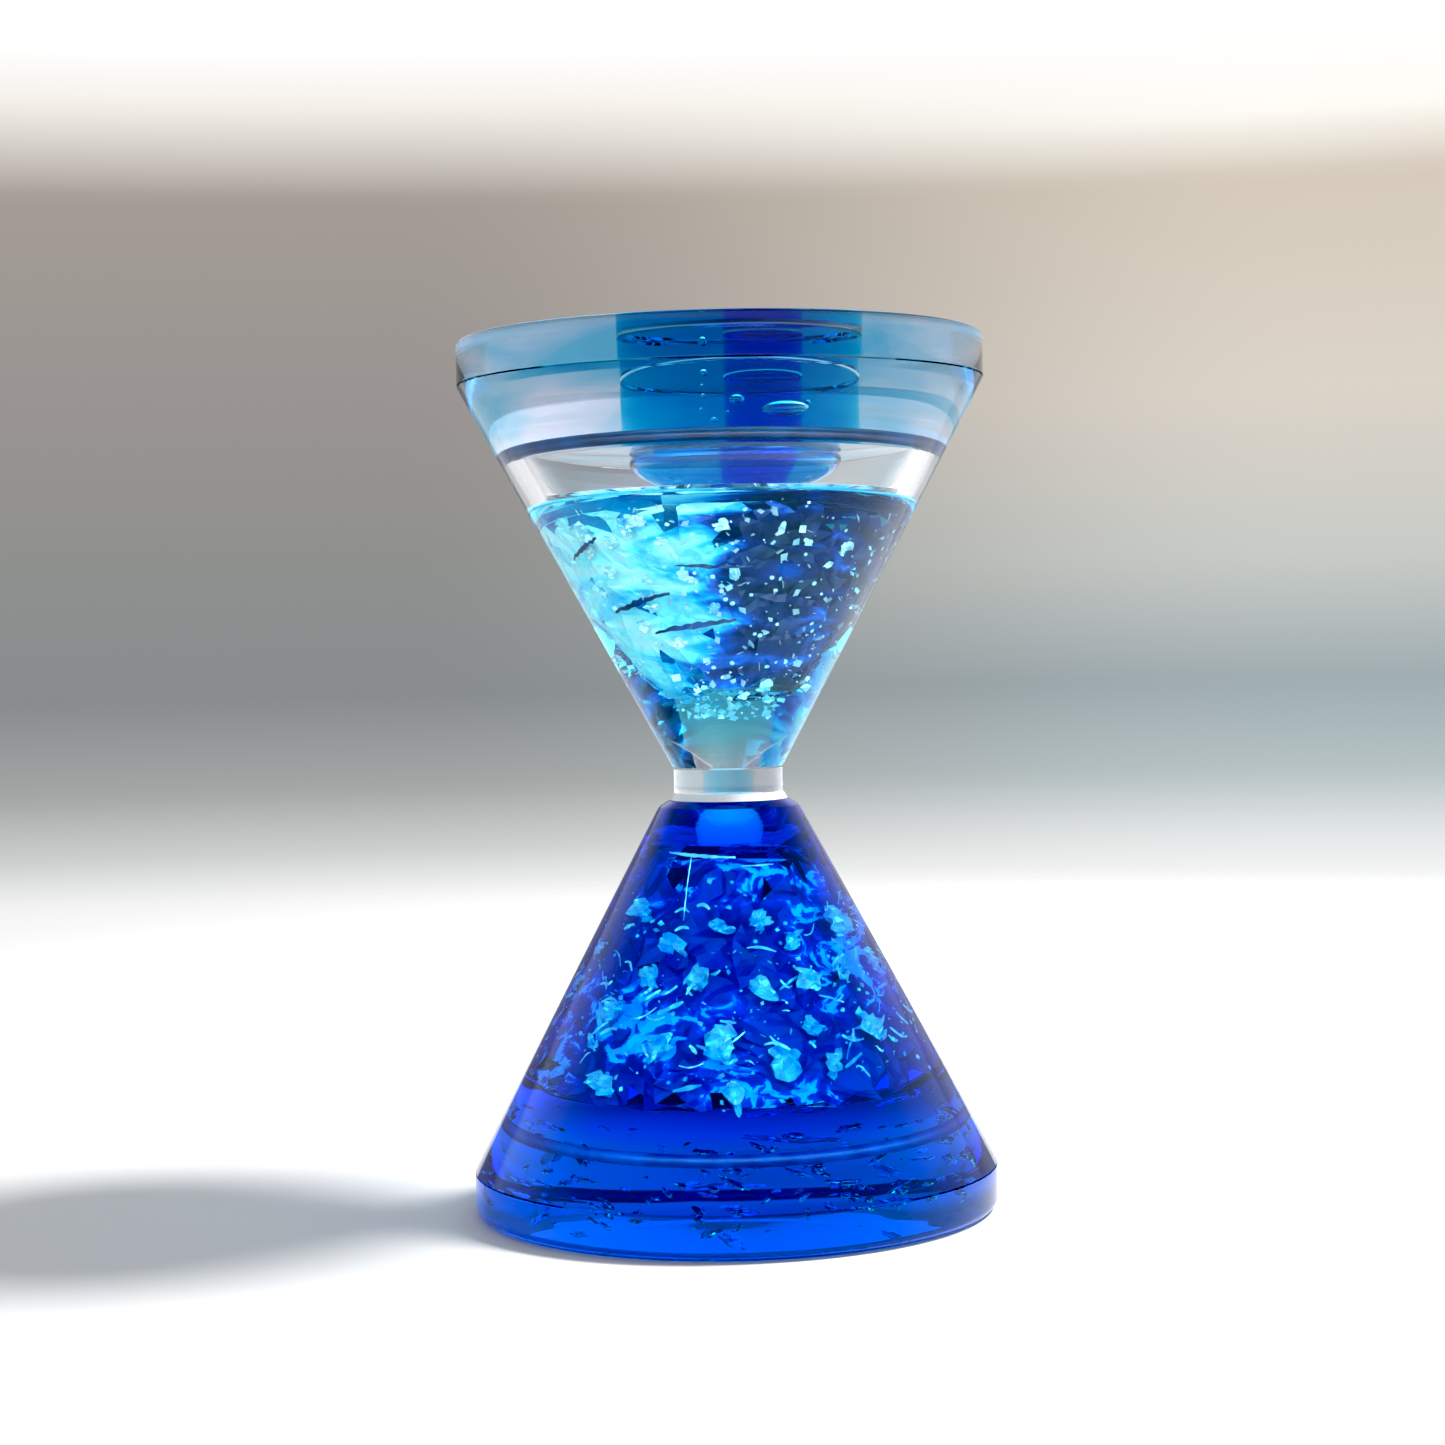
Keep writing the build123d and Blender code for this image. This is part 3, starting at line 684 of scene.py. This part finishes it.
def rubber(name, dark, pale):
    """Wetted seal rubber: dark, with paler rubbed patches and a fine grain."""
    m = solid(name, dark, 0.3)
    t = m.node_tree
    n, link = t.nodes, t.links
    b = n["Principled BSDF"]
    co = n.new("ShaderNodeTexCoord")
    spots = n.new("ShaderNodeTexNoise")
    spots.inputs["Scale"].default_value = 260
    spots.inputs["Detail"].default_value = 5
    link.new(co.outputs["Object"], spots.inputs["Vector"])
    tone = ramp(t, [(0.42, dark), (0.66, pale)])
    link.new(spots.outputs["Fac"], tone.inputs[0])
    link.new(tone.outputs[0], b.inputs["Base Color"])
    bump = n.new("ShaderNodeBump")
    bump.inputs["Strength"].default_value = 0.5
    bump.inputs["Distance"].default_value = 0.00008
    link.new(spots.outputs["Fac"], bump.inputs["Height"])
    link.new(bump.outputs[0], b.inputs["Normal"])
    return m


def torus(name, node, material):
    a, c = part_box(node)
    z = (a.z + c.z) / 2 / MM
    section = (c.z - a.z) / 2 / MM
    ring = c.x / MM - section
    o = lathe(name, [(ring + section * math.cos(math.radians(t)), z + section * math.sin(math.radians(t)), 0) for t in range(0, 360, 20)],
              [material], 200, sharp=60)
    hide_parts(node)
    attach(o, "vessel")
    return o


torus("upper_seal", "upper_cap_seal", rubber("seal_rubber", (0.002, 0.012, 0.075), (0.004, 0.05, 0.19)))
torus("lower_seal", "lower_cap_seal", rubber("seal_rubber_low", (0.0, 0.01, 0.28), (0.0, 0.06, 0.5)))

bond = clear("adhesive", 1.004, (14, 9, 6), (0, 0))


def film_ring(name, node, material, z0, z1, r_in, r_out):
    o = lathe(name, [(r_in, z0, 0), (r_out, z0, 0), (r_out, z1, 0), (r_in, z1, 0)], [material], 200)
    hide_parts(node)
    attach(o, "vessel")
    return o


rim_glue = clear("rim_adhesive", 1.004, (14, 9, 6), (0, 0))
patches = rim_glue.node_tree.nodes.new("ShaderNodeTexNoise")
patches.inputs["Scale"].default_value = 34
patches.inputs["Detail"].default_value = 4
glue_at = rim_glue.node_tree.nodes.new("ShaderNodeTexCoord")
glue_tone = ramp(rim_glue.node_tree, [(0.40, (0.01, 0.42, 0.66)), (0.52, (0.25, 0.72, 0.86)), (0.60, (0.92, 0.97, 1.0))])
rim_glue.node_tree.links.new(glue_at.outputs["Object"], patches.inputs["Vector"])
rim_glue.node_tree.links.new(patches.outputs["Fac"], glue_tone.inputs[0])
rim_glue.node_tree.links.new(glue_tone.outputs[0], rim_glue.node_tree.nodes["Principled BSDF"].inputs["Base Color"])
film_ring("upper_rim_film", "upper_rim_bond", rim_glue, 94.91, 95.09, ui(Z_UP) + 0.02, R - 0.05)
film_ring("lower_rim_film", "lower_rim_bond", clear("adhesive_low", 1.004, TINT_SIGMA, (0, 0)), 4.91, 5.09, li(Z_LOW) + 0.02, R - 0.05)
film_ring("neck_film", "neck_bond_upper", bond, Z_NECK_TOP - 0.19, Z_NECK_TOP - 0.01, 2.3, NECK_R - 0.06)


def assign(node, material):
    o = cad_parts[node]
    o.data.materials.clear()
    o.data.materials.append(material)
    for p in o.data.polygons:
        p.material_index = 0


assign("flow_nozzle", clear("nozzle_resin", 1.002, (240.0, 60.0, 4.0), (0, 0)))
milky = rubber("neck_adhesive", (0.80, 0.86, 0.90), (0.97, 0.99, 1.0))
assign("neck_bond_lower", milky)


# ------------------------------------------------------------------ foil and glitter, one piece on each CAD plate
def islands(mesh):
    """The separate solids of a CAD mesh, as lists of points."""
    parent = list(range(len(mesh.vertices)))

    def find(i):
        while parent[i] != i:
            parent[i] = parent[parent[i]]
            i = parent[i]
        return i

    at = {}
    for v in mesh.vertices:                 # the frame's faces don't share points, so join them by place
        key = tuple(round(c * 1e7) for c in v.co)
        if key in at:
            parent[find(v.index)] = find(at[key])
        else:
            at[key] = v.index
    for e in mesh.edges:
        parent[find(e.vertices[0])] = find(e.vertices[1])
    groups = {}
    for v in mesh.vertices:
        groups.setdefault(find(v.index), []).append(v.co.copy())
    return [groups[k] for k in sorted(groups)]


def lie(points):
    """A plate's centre, its two long directions, its normal and its radius."""
    c = sum(points, Vector()) / len(points)
    far = max(points, key=lambda p: (p - c).length)
    u = (far - c).normalized()
    best, n = 0, None
    for p in points:
        w = u.cross(p - c)
        if w.length > best:
            best, n = w.length, w.normalized()
    # two faces: take out the thickness by making n the direction of least spread
    v = n.cross(u).normalized()
    return c, u, v, n, (far - c).length


def crumpled(rng, bm, c, u, v, n, radius, cells, lift, slot=0):
    """A crumpled scrap of foil: a ragged patch of flat facets with sharp creases."""
    folds = [(rng.uniform(0, math.pi), rng.uniform(1.2, 2.6) / radius, rng.uniform(0, 6.28), rng.uniform(0.35, 1.0)) for _ in range(4)]
    size = 2 * cells + 1
    grid = {}
    outline = [rng.uniform(0.35, 1.0) for _ in range(9)]

    def reach(a):
        t = (a / (2 * math.pi) * 9) % 9
        k = int(t)
        return outline[k] * (1 - t + k) + outline[(k + 1) % 9] * (t - k)

    for i in range(size):
        for j in range(size):
            x = ((i - cells) + rng.uniform(-0.32, 0.32)) / cells
            y = ((j - cells) + rng.uniform(-0.32, 0.32)) / cells
            a, d = math.atan2(y, x), math.hypot(x, y)
            edge = reach(a)
            if d > edge * 1.25:
                continue
            if d > edge:
                x, y = x * edge / d, y * edge / d
            h = 0.0
            for t, f, ph, w in folds:
                q = (x * math.cos(t) + y * math.sin(t)) * radius * f * 2 + ph
                h += w * (abs((q % 2) - 1) - 0.5)
            h = h * lift * radius * 0.55 + rng.uniform(-0.05, 0.05) * radius
            grid[i, j] = bm.verts.new(c + u * (x * radius) + v * (y * radius) + n * h)
    for i in range(size - 1):
        for j in range(size - 1):
            q = [grid.get(k) for k in ((i, j), (i + 1, j), (i + 1, j + 1), (i, j + 1))]
            if sum(p is not None for p in q) < 3:
                continue
            q = [p for p in q if p is not None]
            tris = [q] if len(q) == 3 else ([[q[0], q[1], q[2]], [q[0], q[2], q[3]]] if rng.random() < 0.5 else [[q[0], q[1], q[3]], [q[1], q[2], q[3]]])
            for t in tris:
                if (t[1].co - t[0].co).cross(t[2].co - t[0].co).length > 1e-12:
                    f = bm.faces.new(t)
                    f.material_index = slot
                    f.smooth = False


def metal_film(name, low, mid, high, scale, rough=(0.08, 0.3), metal=0.9):
    """Bright film: its colour drifts from place to place as an interference film's does, with fine creases."""
    m = solid(name, mid, 0.2, metal)
    t = m.node_tree
    n, link = t.nodes, t.links
    b = n["Principled BSDF"]
    co = n.new("ShaderNodeTexCoord")
    drift = n.new("ShaderNodeTexNoise")
    drift.inputs["Scale"].default_value = scale
    drift.inputs["Detail"].default_value = 3
    link.new(co.outputs["Object"], drift.inputs["Vector"])
    tone = ramp(t, [(0.32, low), (0.5, mid), (0.66, high)])
    link.new(drift.outputs["Fac"], tone.inputs[0])
    link.new(tone.outputs[0], b.inputs["Base Color"])
    crease = n.new("ShaderNodeTexNoise")
    crease.inputs["Scale"].default_value = scale * 2.5
    crease.inputs["Detail"].default_value = 3
    link.new(co.outputs["Object"], crease.inputs["Vector"])
    level = n.new("ShaderNodeMapRange")
    level.inputs["From Min"].default_value = 0.35
    level.inputs["From Max"].default_value = 0.65
    level.inputs["To Min"].default_value = rough[0]
    level.inputs["To Max"].default_value = rough[1]
    link.new(crease.outputs["Fac"], level.inputs["Value"])
    link.new(level.outputs[0], b.inputs["Roughness"])
    bump = n.new("ShaderNodeBump")
    bump.inputs["Strength"].default_value = 0.6
    bump.inputs["Distance"].default_value = 0.00015
    link.new(crease.outputs["Fac"], bump.inputs["Height"])
    link.new(bump.outputs[0], b.inputs["Normal"])
    return m


def scraps(name, node, body, material, cells, lift, grow, thickness, seed, extra=None, narrow=1.0):
    rng = random.Random(seed)
    bm = bmesh.new()
    for points in islands(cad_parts[node].data):
        c, u, v, n, radius = lie(points)
        turn = rng.uniform(0, math.pi)
        u, v = u * math.cos(turn) + v * math.sin(turn), v * math.cos(turn) - u * math.sin(turn)
        crumpled(rng, bm, c, u, v * rng.uniform(narrow, 1.0), n, radius * grow, cells, lift)
    if extra:
        extra(rng, bm)
    mesh = bpy.data.meshes.new(name)
    bm.to_mesh(mesh)
    bm.free()
    mesh.materials.append(material)
    o = bpy.data.objects.new(name, mesh)
    scene.collection.objects.link(o)
    thick = o.modifiers.new("gauge", "SOLIDIFY")
    thick.thickness = thickness * MM
    thick.offset = 0
    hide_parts(node)
    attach(o, body)
    return o


def mote(rng, bm, p, size):
    """One fleck: a bent quadrilateral at any angle."""
    u = Vector((rng.gauss(0, 1), rng.gauss(0, 1), rng.gauss(0, 1))).normalized()
    w = u.cross(Vector((rng.gauss(0, 1), rng.gauss(0, 1), rng.gauss(0, 1)))).normalized()
    n = u.cross(w)
    q = [p + (u * a * rng.uniform(0.6, 1.2) + w * b * rng.uniform(0.6, 1.2) + n * rng.uniform(-0.2, 0.2)) * size
         for a, b in ((-1, -1), (1, -1), (1, 1), (-1, 1))]
    v = [bm.verts.new(k * MM) for k in q]
    bm.faces.new((v[0], v[1], v[2]))
    bm.faces.new((v[0], v[2], v[3]))


def upper_dust(rng, bm):
    """Fine flecks through the upper liquid, more of them to the right and down in the funnel."""
    def put(r, t, z, size):
        low = z - 2.5 - 1.75 * size             # the lowest point of the fleck, with its group at the end of its slide
        room = ui(low) if low > FUNNEL else THROAT_R + (ui(FUNNEL) - THROAT_R) * max(low - THROAT_Z, 0.0) / (FUNNEL - THROAT_Z)
        r = min(r, room - 0.2 - 1.75 * size)
        if r > 0:
            mote(rng, bm, Vector((r * math.cos(t), r * math.sin(t), z)), size)

    for _ in range(300):
        z = rng.uniform(61.5, LEVEL - 0.5)
        t = rng.gauss(0.35, 0.75) - math.pi / 2 if rng.random() < 0.62 else rng.uniform(0, 2 * math.pi)
        put(ui(z) - rng.uniform(1.75, 3.3), t, z, rng.choice((0.10, 0.14, 0.20, 0.30, 0.42)))
    for _ in range(240):
        z = rng.uniform(58.2, 64.5)
        t, r = rng.uniform(0, 2 * math.pi), math.sqrt(rng.random()) * min(3.4 + max(z - 58.2, 0) * 0.62, 7.0)
        put(r, t, z, rng.choice((0.12, 0.18, 0.26, 0.38)))


def ribbon(rng, bm, path, width):
    """A thin, slightly twisted shred of foil along a path of points."""
    last = None
    for k, p in enumerate(path):
        step = (path[min(k + 1, len(path) - 1)] - path[max(k - 1, 0)]).normalized()
        out = Vector((p.x, p.y, 0)).normalized()
        across = step.cross(out).normalized()
        w = width * (0.35 + 0.65 * math.sin(math.pi * (k + 0.5) / len(path))) * rng.uniform(0.7, 1.3)
        pair = [bm.verts.new((p + across * w * 0.5 + out * rng.uniform(-0.05, 0.05)) * MM),
                bm.verts.new((p - across * w * 0.5 + out * rng.uniform(-0.05, 0.05)) * MM)]
        if last:
            bm.faces.new((last[0], pair[0], pair[1]))
            bm.faces.new((last[0], pair[1], last[1]))
        last = pair


def on_wall(az, z, gap):
    """A point of the lower liquid: azimuth in degrees from the front towards +X, height, and distance from the wall."""
    t = math.radians(az) - math.pi / 2
    r = li(z) - gap
    return Vector((r * math.cos(t), r * math.sin(t), z))


def lower_dust(rng, bm):
    """Fine flecks and shreds through the lower liquid, thickest half way up."""
    for _ in range(420):
        z = rng.triangular(13.6, 38.5, 21.0)
        t = rng.uniform(0, 2 * math.pi)
        r = li(z) - rng.uniform(0.4, 3.0)
        mote(rng, bm, Vector((r * math.cos(t), r * math.sin(t), z)), rng.choice((0.09, 0.13, 0.19, 0.28)))
    for _ in range(150):                      # short shreds, lying along the wall
        z, az = rng.triangular(14.6, 36.5, 20.0), rng.uniform(0, 360)
        gap, lean, length = rng.uniform(0.5, 2.6), rng.uniform(-0.9, 0.9), rng.uniform(0.9, 3.4)
        bend = rng.uniform(-0.5, 0.5)
        path = []
        for k in range(7):
            s = (k / 6 - 0.5) * length
            zz = min(max(z + s * math.sin(lean) + bend * math.sin(math.pi * k / 6), 13.5), 39.5)
            path.append(on_wall(az + math.degrees(s * math.cos(lean) / li(z)), zz, gap))
        ribbon(rng, bm, path, rng.uniform(0.16, 0.5))
    ribbon(rng, bm, [on_wall(a, 40.7 - 0.006 * (a + 20), 0.45) for a in range(-52, 6, 4)], 0.42)
    ribbon(rng, bm, [on_wall(a, 39.6, 0.45) for a in range(8, 34, 4)], 0.22)
    ribbon(rng, bm, [on_wall(-30 + 0.4 * k, 40.6 - 0.62 * k, 0.4) for k in range(12)], 0.13)


def upper_shreds(rng, bm):
    """Dark shreds across the left of the upper liquid, and pale scraps low on its right."""
    def at(az, z, gap):
        t = math.radians(az) - math.pi / 2
        r = ui(z) - gap
        return Vector((r * math.cos(t), r * math.sin(t), z))

    start = len(bm.faces)
    for a0, a1, z0, z1, w in ((-64, -26, 70.2, 71.6, 0.75), (-42, 6, 67.4, 68.5, 0.7), (14, 52, 71.2, 70.3, 0.9), (-20, 12, 74.6, 74.2, 0.4),
                              (-74, -52, 76.5, 78.2, 0.6), (20, 50, 66.4, 66.9, 0.6)):
        n = 14
        ribbon(rng, bm, [at(a0 + (a1 - a0) * k / n, z0 + (z1 - z0) * k / n + rng.uniform(-0.12, 0.12), 2.0) for k in range(n + 1)], w)
    bm.faces.ensure_lookup_table()
    for f in bm.faces[start:]:
        f.material_index = 1
    for az, z, size in ((-60, 79.2, 2.3), (-47, 77.6, 1.7), (-33, 79.6, 1.9), (-55, 74.6, 1.5), (-24, 77.4, 1.1), (-1, 78.8, 1.5),
                        (-40, 71.6, 1.3), (-14, 73.0, 1.0), (-50, 68.6, 1.2), (-30, 66.2, 1.2), (-68, 72.4, 1.3), (34, 77.0, 1.1), (48, 74.6, 0.9)):
        t = math.radians(az) - math.pi / 2
        out = Vector((math.cos(t), math.sin(t), -0.54)).normalized()
        side = Vector((-math.sin(t), math.cos(t), 0))
        r = ui(z) - 2.1 - 0.25 * size
        crumpled(rng, bm, Vector((r * math.cos(t), r * math.sin(t), z)) * MM, side, out.cross(side) * 0.7, out, size * MM, 4, 0.5)
    for az, z, r, size in ((38, 61.2, 5.9, 1.15), (55, 60.0, 4.4, 0.8), (20, 60.2, 4.8, 0.7)):
        t = math.radians(az) - math.pi / 2
        out = Vector((math.cos(t), math.sin(t), -0.4)).normalized()
        side = Vector((-math.sin(t), math.cos(t), 0))
        crumpled(rng, bm, Vector((r * math.cos(t), r * math.sin(t), z)) * MM, side, out.cross(side), out, size * MM, 3, 0.6)


foil = metal_film("foil", (0.05, 0.55, 0.95), (0.80, 0.99, 1.0), (1.0, 1.0, 1.0), 420, (0.1, 0.3), 0.3)
spark = metal_film("glitter", (0.55, 0.85, 1.0), (0.9, 0.97, 1.0), (1.0, 1.0, 1.0), 500, (0.05, 0.2), 0.3)
scraps("lower_foil", "lower_foil_flakes", "lower_flakes", foil, 5, 0.8, 1.35, 0.05, 7, narrow=0.55)
upper_scraps = scraps("upper_foil", "upper_foil_flakes", "upper_flakes", foil, 4, 0.6, 1.05, 0.05, 8, upper_shreds, 0.5)
upper_scraps.data.materials.append(rubber("dark_shred", (0.0, 0.004, 0.07), (0.0, 0.03, 0.22)))
scraps("lower_specks", "lower_glitter", "lower_flakes", spark, 1, 0.12, 1.0, 0.04, 9, lower_dust)
scraps("upper_specks", "upper_glitter", "upper_flakes", spark, 1, 0.12, 1.0, 0.04, 10, upper_dust)


# ------------------------------------------------------------------ crumpled films
def crumpled_cone(name, node, body, material, spacing, amount, fine, holes, seed, longer=(0, 0)):
    """An open cone of crumpled film over the CAD film: flat facets between random points, each facet split once more."""
    from mathutils.geometry import delaunay_2d_cdt

    rng = random.Random(seed)
    a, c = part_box(node)
    z0, z1 = a.z / MM - longer[0], c.z / MM + longer[1]
    up = node.startswith("upper")
    gap = 3.6 if up else 3.2
    wall = ui if up else li
    radius_at = lambda z: wall(z) - gap - 0.15
    mean = (radius_at(z0) + radius_at(z1)) / 2
    slant = math.hypot(z1 - z0, radius_at(z1) - radius_at(z0)) / (z1 - z0)
    points = []
    rows = int((z1 - z0) * slant / spacing)
    for j in range(rows + 1):
        z = z0 + (z1 - z0) * j / rows
        count = max(6, int(2 * math.pi * radius_at(z) / spacing))
        for i in range(count):
            t = 2 * math.pi * (i + rng.uniform(-0.42, 0.42) + 0.5 * (j % 2)) / count % (2 * math.pi)
            y = z if j in (0, rows) else z + rng.uniform(-0.42, 0.42) * (z1 - z0) / rows
            if j in (0, rows):
                y += rng.uniform(0, 0.9) * (1 if j == 0 else -1)
            points.append((t, y))
    n0 = len(points)
    flat, source = [], []
    for k, (t, y) in enumerate(points):
        for shift in (-1, 0, 1):
            tt = t + shift * 2 * math.pi
            if -0.9 < tt < 2 * math.pi + 0.9:
                flat.append(Vector((tt * mean, y * slant)))
                source.append(k)
    out = delaunay_2d_cdt(flat, [], [], 0, 1e-6)
    vco, vfaces, vorig = out[0], out[2], out[3]
    back = [source[o[0]] for o in vorig]
    push = [rng.uniform(-1, 1) for _ in range(n0)]
    place = []
    for k, (t, y) in enumerate(points):
        swell = noise.noise(Vector((math.cos(t) * 3, math.sin(t) * 3, y / 4.0)) + Vector((seed, 0, 0)))
        r = radius_at(y) + amount * (0.6 * push[k] + 0.9 * swell)
        place.append(Vector((r * math.cos(t), r * math.sin(t), y)))
    bm = bmesh.new()
    made = [bm.verts.new(p * MM) for p in place]
    mids = {}

    def mid(i, j):
        key = (min(i, j), max(i, j))
        if key not in mids:
            p = (place[i] + place[j]) / 2
            out_ = Vector((p.x, p.y, 0)).normalized()
            mids[key] = bm.verts.new((p + out_ * rng.uniform(-fine, fine)) * MM)
        return mids[key]

    for f in vfaces:
        centre = sum((vco[i] for i in f), Vector((0, 0))) / 3
        if not 0 <= centre.x < 2 * math.pi * mean:
            continue
        k = [back[i] for i in f]
        if len(set(k)) < 3:
            continue
        p = (place[k[0]] + place[k[1]] + place[k[2]]) / 3
        frayed = max(0.0, 1 - min(p.z - z0, z1 - p.z) / 3.5)
        if noise.noise(p / 2.4 + Vector((seed * 3.7, 1, 2))) > holes - 0.5 * frayed:
            continue
        m = [mid(k[0], k[1]), mid(k[1], k[2]), mid(k[2], k[0])]
        v = [made[i] for i in k]
        for t in ((v[0], m[0], m[2]), (m[0], v[1], m[1]), (m[2], m[1], v[2]), (m[0], m[1], m[2])):
            bm.faces.new(t).smooth = False
    loose = [v for v in bm.verts if not v.link_faces]
    bmesh.ops.delete(bm, geom=loose, context="VERTS")
    mesh = bpy.data.meshes.new(name)
    bm.to_mesh(mesh)
    bm.free()
    mesh.materials.append(material)
    o = bpy.data.objects.new(name, mesh)
    scene.collection.objects.link(o)
    thick = o.modifiers.new("gauge", "SOLIDIFY")
    thick.thickness = 0.05 * MM
    thick.offset = 0
    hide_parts(node)
    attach(o, body)
    return o


def cloud_film(name, stops, scale, stretch=(1, 1, 1), side=None, ridged=False, specks=(0.0, 700), rough=0.4, metal=0.1, grain=260):
    """Wet, crumpled film: its tone runs in clouds or in crests, and small specks cling to it. A given side paints light
    and shade by object X, one side lighter and the other darker; ridged crests are painted highlights.
    """
    m = solid(name, stops[-1][1], rough, metal)
    t = m.node_tree
    n, link = t.nodes, t.links
    b = n["Principled BSDF"]
    co = n.new("ShaderNodeTexCoord")
    place = n.new("ShaderNodeMapping")
    place.inputs["Scale"].default_value = stretch
    link.new(co.outputs["Object"], place.inputs[0])
    cloud = n.new("ShaderNodeTexNoise")
    if ridged:
        cloud.noise_type = "RIDGED_MULTIFRACTAL"
        cloud.inputs["Offset"].default_value = 0.9
        cloud.inputs["Gain"].default_value = 2.0
    cloud.inputs["Scale"].default_value = scale
    cloud.inputs["Detail"].default_value = 5
    cloud.inputs["Roughness"].default_value = 0.55
    cloud.inputs["Distortion"].default_value = 0.7
    link.new(place.outputs[0], cloud.inputs["Vector"])
    value = cloud.outputs["Fac"]
    # painted highlights: the bright crests of the ridged noise stand in for glints on the film's creases
    if ridged:                               # crests gather in patches
        patch = n.new("ShaderNodeTexNoise")
        patch.inputs["Scale"].default_value = scale * 0.28
        patch.inputs["Detail"].default_value = 2
        link.new(place.outputs[0], patch.inputs["Vector"])
        keep = n.new("ShaderNodeMapRange")
        keep.interpolation_type = "SMOOTHSTEP"
        keep.inputs["From Min"].default_value = 0.40
        keep.inputs["From Max"].default_value = 0.62
        keep.inputs["To Min"].default_value = 0.35
        link.new(patch.outputs["Fac"], keep.inputs["Value"])
        mul = n.new("ShaderNodeMath")
        mul.operation = "MULTIPLY"
        link.new(value, mul.inputs[0])
        link.new(keep.outputs[0], mul.inputs[1])
        value = mul.outputs[0]
    # painted light and shade: the tone is raised towards one side in X and lowered towards the other, so the film looks
    # lit on one side and shaded on the other
    if side:
        x0, x1, f0, f1 = side
        sep = n.new("ShaderNodeSeparateXYZ")
        link.new(co.outputs["Object"], sep.inputs[0])
        lean = n.new("ShaderNodeMapRange")
        lean.interpolation_type = "SMOOTHSTEP"
        lean.inputs["From Min"].default_value = x0 * MM
        lean.inputs["From Max"].default_value = x1 * MM
        lean.inputs["To Min"].default_value = f0
        lean.inputs["To Max"].default_value = f1
        link.new(sep.outputs["X"], lean.inputs["Value"])
        add = n.new("ShaderNodeMath")
        add.operation = "ADD"
        link.new(value, add.inputs[0])
        link.new(lean.outputs[0], add.inputs[1])
        value = add.outputs[0]
    tone = ramp(t, stops)
    link.new(value, tone.inputs[0])
    colour = tone.outputs[0]
    if specks[0] > 0:
        dots = n.new("ShaderNodeTexVoronoi")
        dots.inputs["Scale"].default_value = specks[1]
        dots.inputs["Randomness"].default_value = 1.0
        link.new(co.outputs["Object"], dots.inputs["Vector"])
        near = n.new("ShaderNodeMath")
        near.operation = "LESS_THAN"
        near.inputs[1].default_value = specks[0]
        link.new(dots.outputs["Distance"], near.inputs[0])
        add_dots = n.new("ShaderNodeMix")
        add_dots.data_type = "RGBA"
        link.new(near.outputs[0], add_dots.inputs["Factor"])
        link.new(colour, add_dots.inputs["A"])
        add_dots.inputs["B"].default_value = (0.85, 0.97, 1.0, 1)
        colour = add_dots.outputs["Result"]
    link.new(colour, b.inputs["Base Color"])
    fine = n.new("ShaderNodeTexNoise")
    fine.inputs["Scale"].default_value = grain
    fine.inputs["Detail"].default_value = 5
    link.new(co.outputs["Object"], fine.inputs["Vector"])
    bump = n.new("ShaderNodeBump")
    bump.inputs["Strength"].default_value = 0.8
    bump.inputs["Distance"].default_value = 0.0004
    link.new(fine.outputs["Fac"], bump.inputs["Height"])
    link.new(bump.outputs[0], b.inputs["Normal"])
    return m


# painted highlights: bright cyan crests, gathered in patches, are painted over the lower film's dark navy tone as
# crinkle glints
lower_film_painted_glints = cloud_film("lower_film", [
    (0.00, (0.0, 0.0, 0.20)), (0.66, (0.0, 0.002, 0.34)), (0.85, (0.0, 0.04, 0.52)), (0.95, (0.005, 0.26, 0.75)),
    (1.0, (0.20, 0.85, 1.0))], 230, (1, 1, 1.4), ridged=True, specks=(0.10, 420))
# painted light and shade: the upper film is painted pale cyan and white towards -X, as if lit through, and dark navy
# towards +X, as if shaded; the white stops are painted highlights
upper_film_painted_light = cloud_film("upper_film", [
    (0.20, (0.0, 0.0, 0.025)), (0.38, (0.0, 0.006, 0.15)), (0.46, (0.0, 0.10, 0.62)), (0.54, (0.01, 0.55, 1.0)),
    (0.66, (0.50, 1.0, 1.0)), (0.76, (1.0, 1.0, 1.0))], 95, (1, 1, 2.8), side=(-10, 7, 0.17, -0.20), specks=(0.16, 620))
crumpled_cone("lower_crumpled_film", "lower_film", "lower_flakes", lower_film_painted_glints, 1.8, 0.9, 0.22, 0.62, 3, (0.2, 3.0))
crumpled_cone("upper_crumpled_film", "upper_film", "upper_flakes", upper_film_painted_light, 1.5, 0.7, 0.16, 0.45, 4, (2.0, 1.1))

# ------------------------------------------------------------------ one material to a resin body
def unify(o):
    """Gives a clear body one material, so that light leaving it leaves its tint behind. Each face keeps its own index step, as an attribute."""
    mesh = o.data
    steps = [m.node_tree.nodes["Principled BSDF"].inputs["IOR"].default_value for m in mesh.materials]
    layer = mesh.attributes.new("index_step", "FLOAT", "FACE")
    layer.data.foreach_set("value", [steps[p.material_index] if p.material_index < len(steps) else steps[0] for p in mesh.polygons])
    mesh.polygons.foreach_set("material_index", [0] * len(mesh.polygons))
    while len(mesh.materials) > 1:
        mesh.materials.pop(index=len(mesh.materials) - 1)
    mesh.update()


for o in (upper_shell, lower_shell, upper_cap, lower_cap, filler_plug, pin, upper_liquid, collar):
    unify(o)
for m in (resin, cone_resin, cap_resin, tinted, plug_resin, pin_resin, up_wall):
    step = m.node_tree.nodes.new("ShaderNodeAttribute")
    step.attribute_name = "index_step"
    m.node_tree.links.new(step.outputs["Fac"], m.node_tree.nodes["Principled BSDF"].inputs["IOR"])
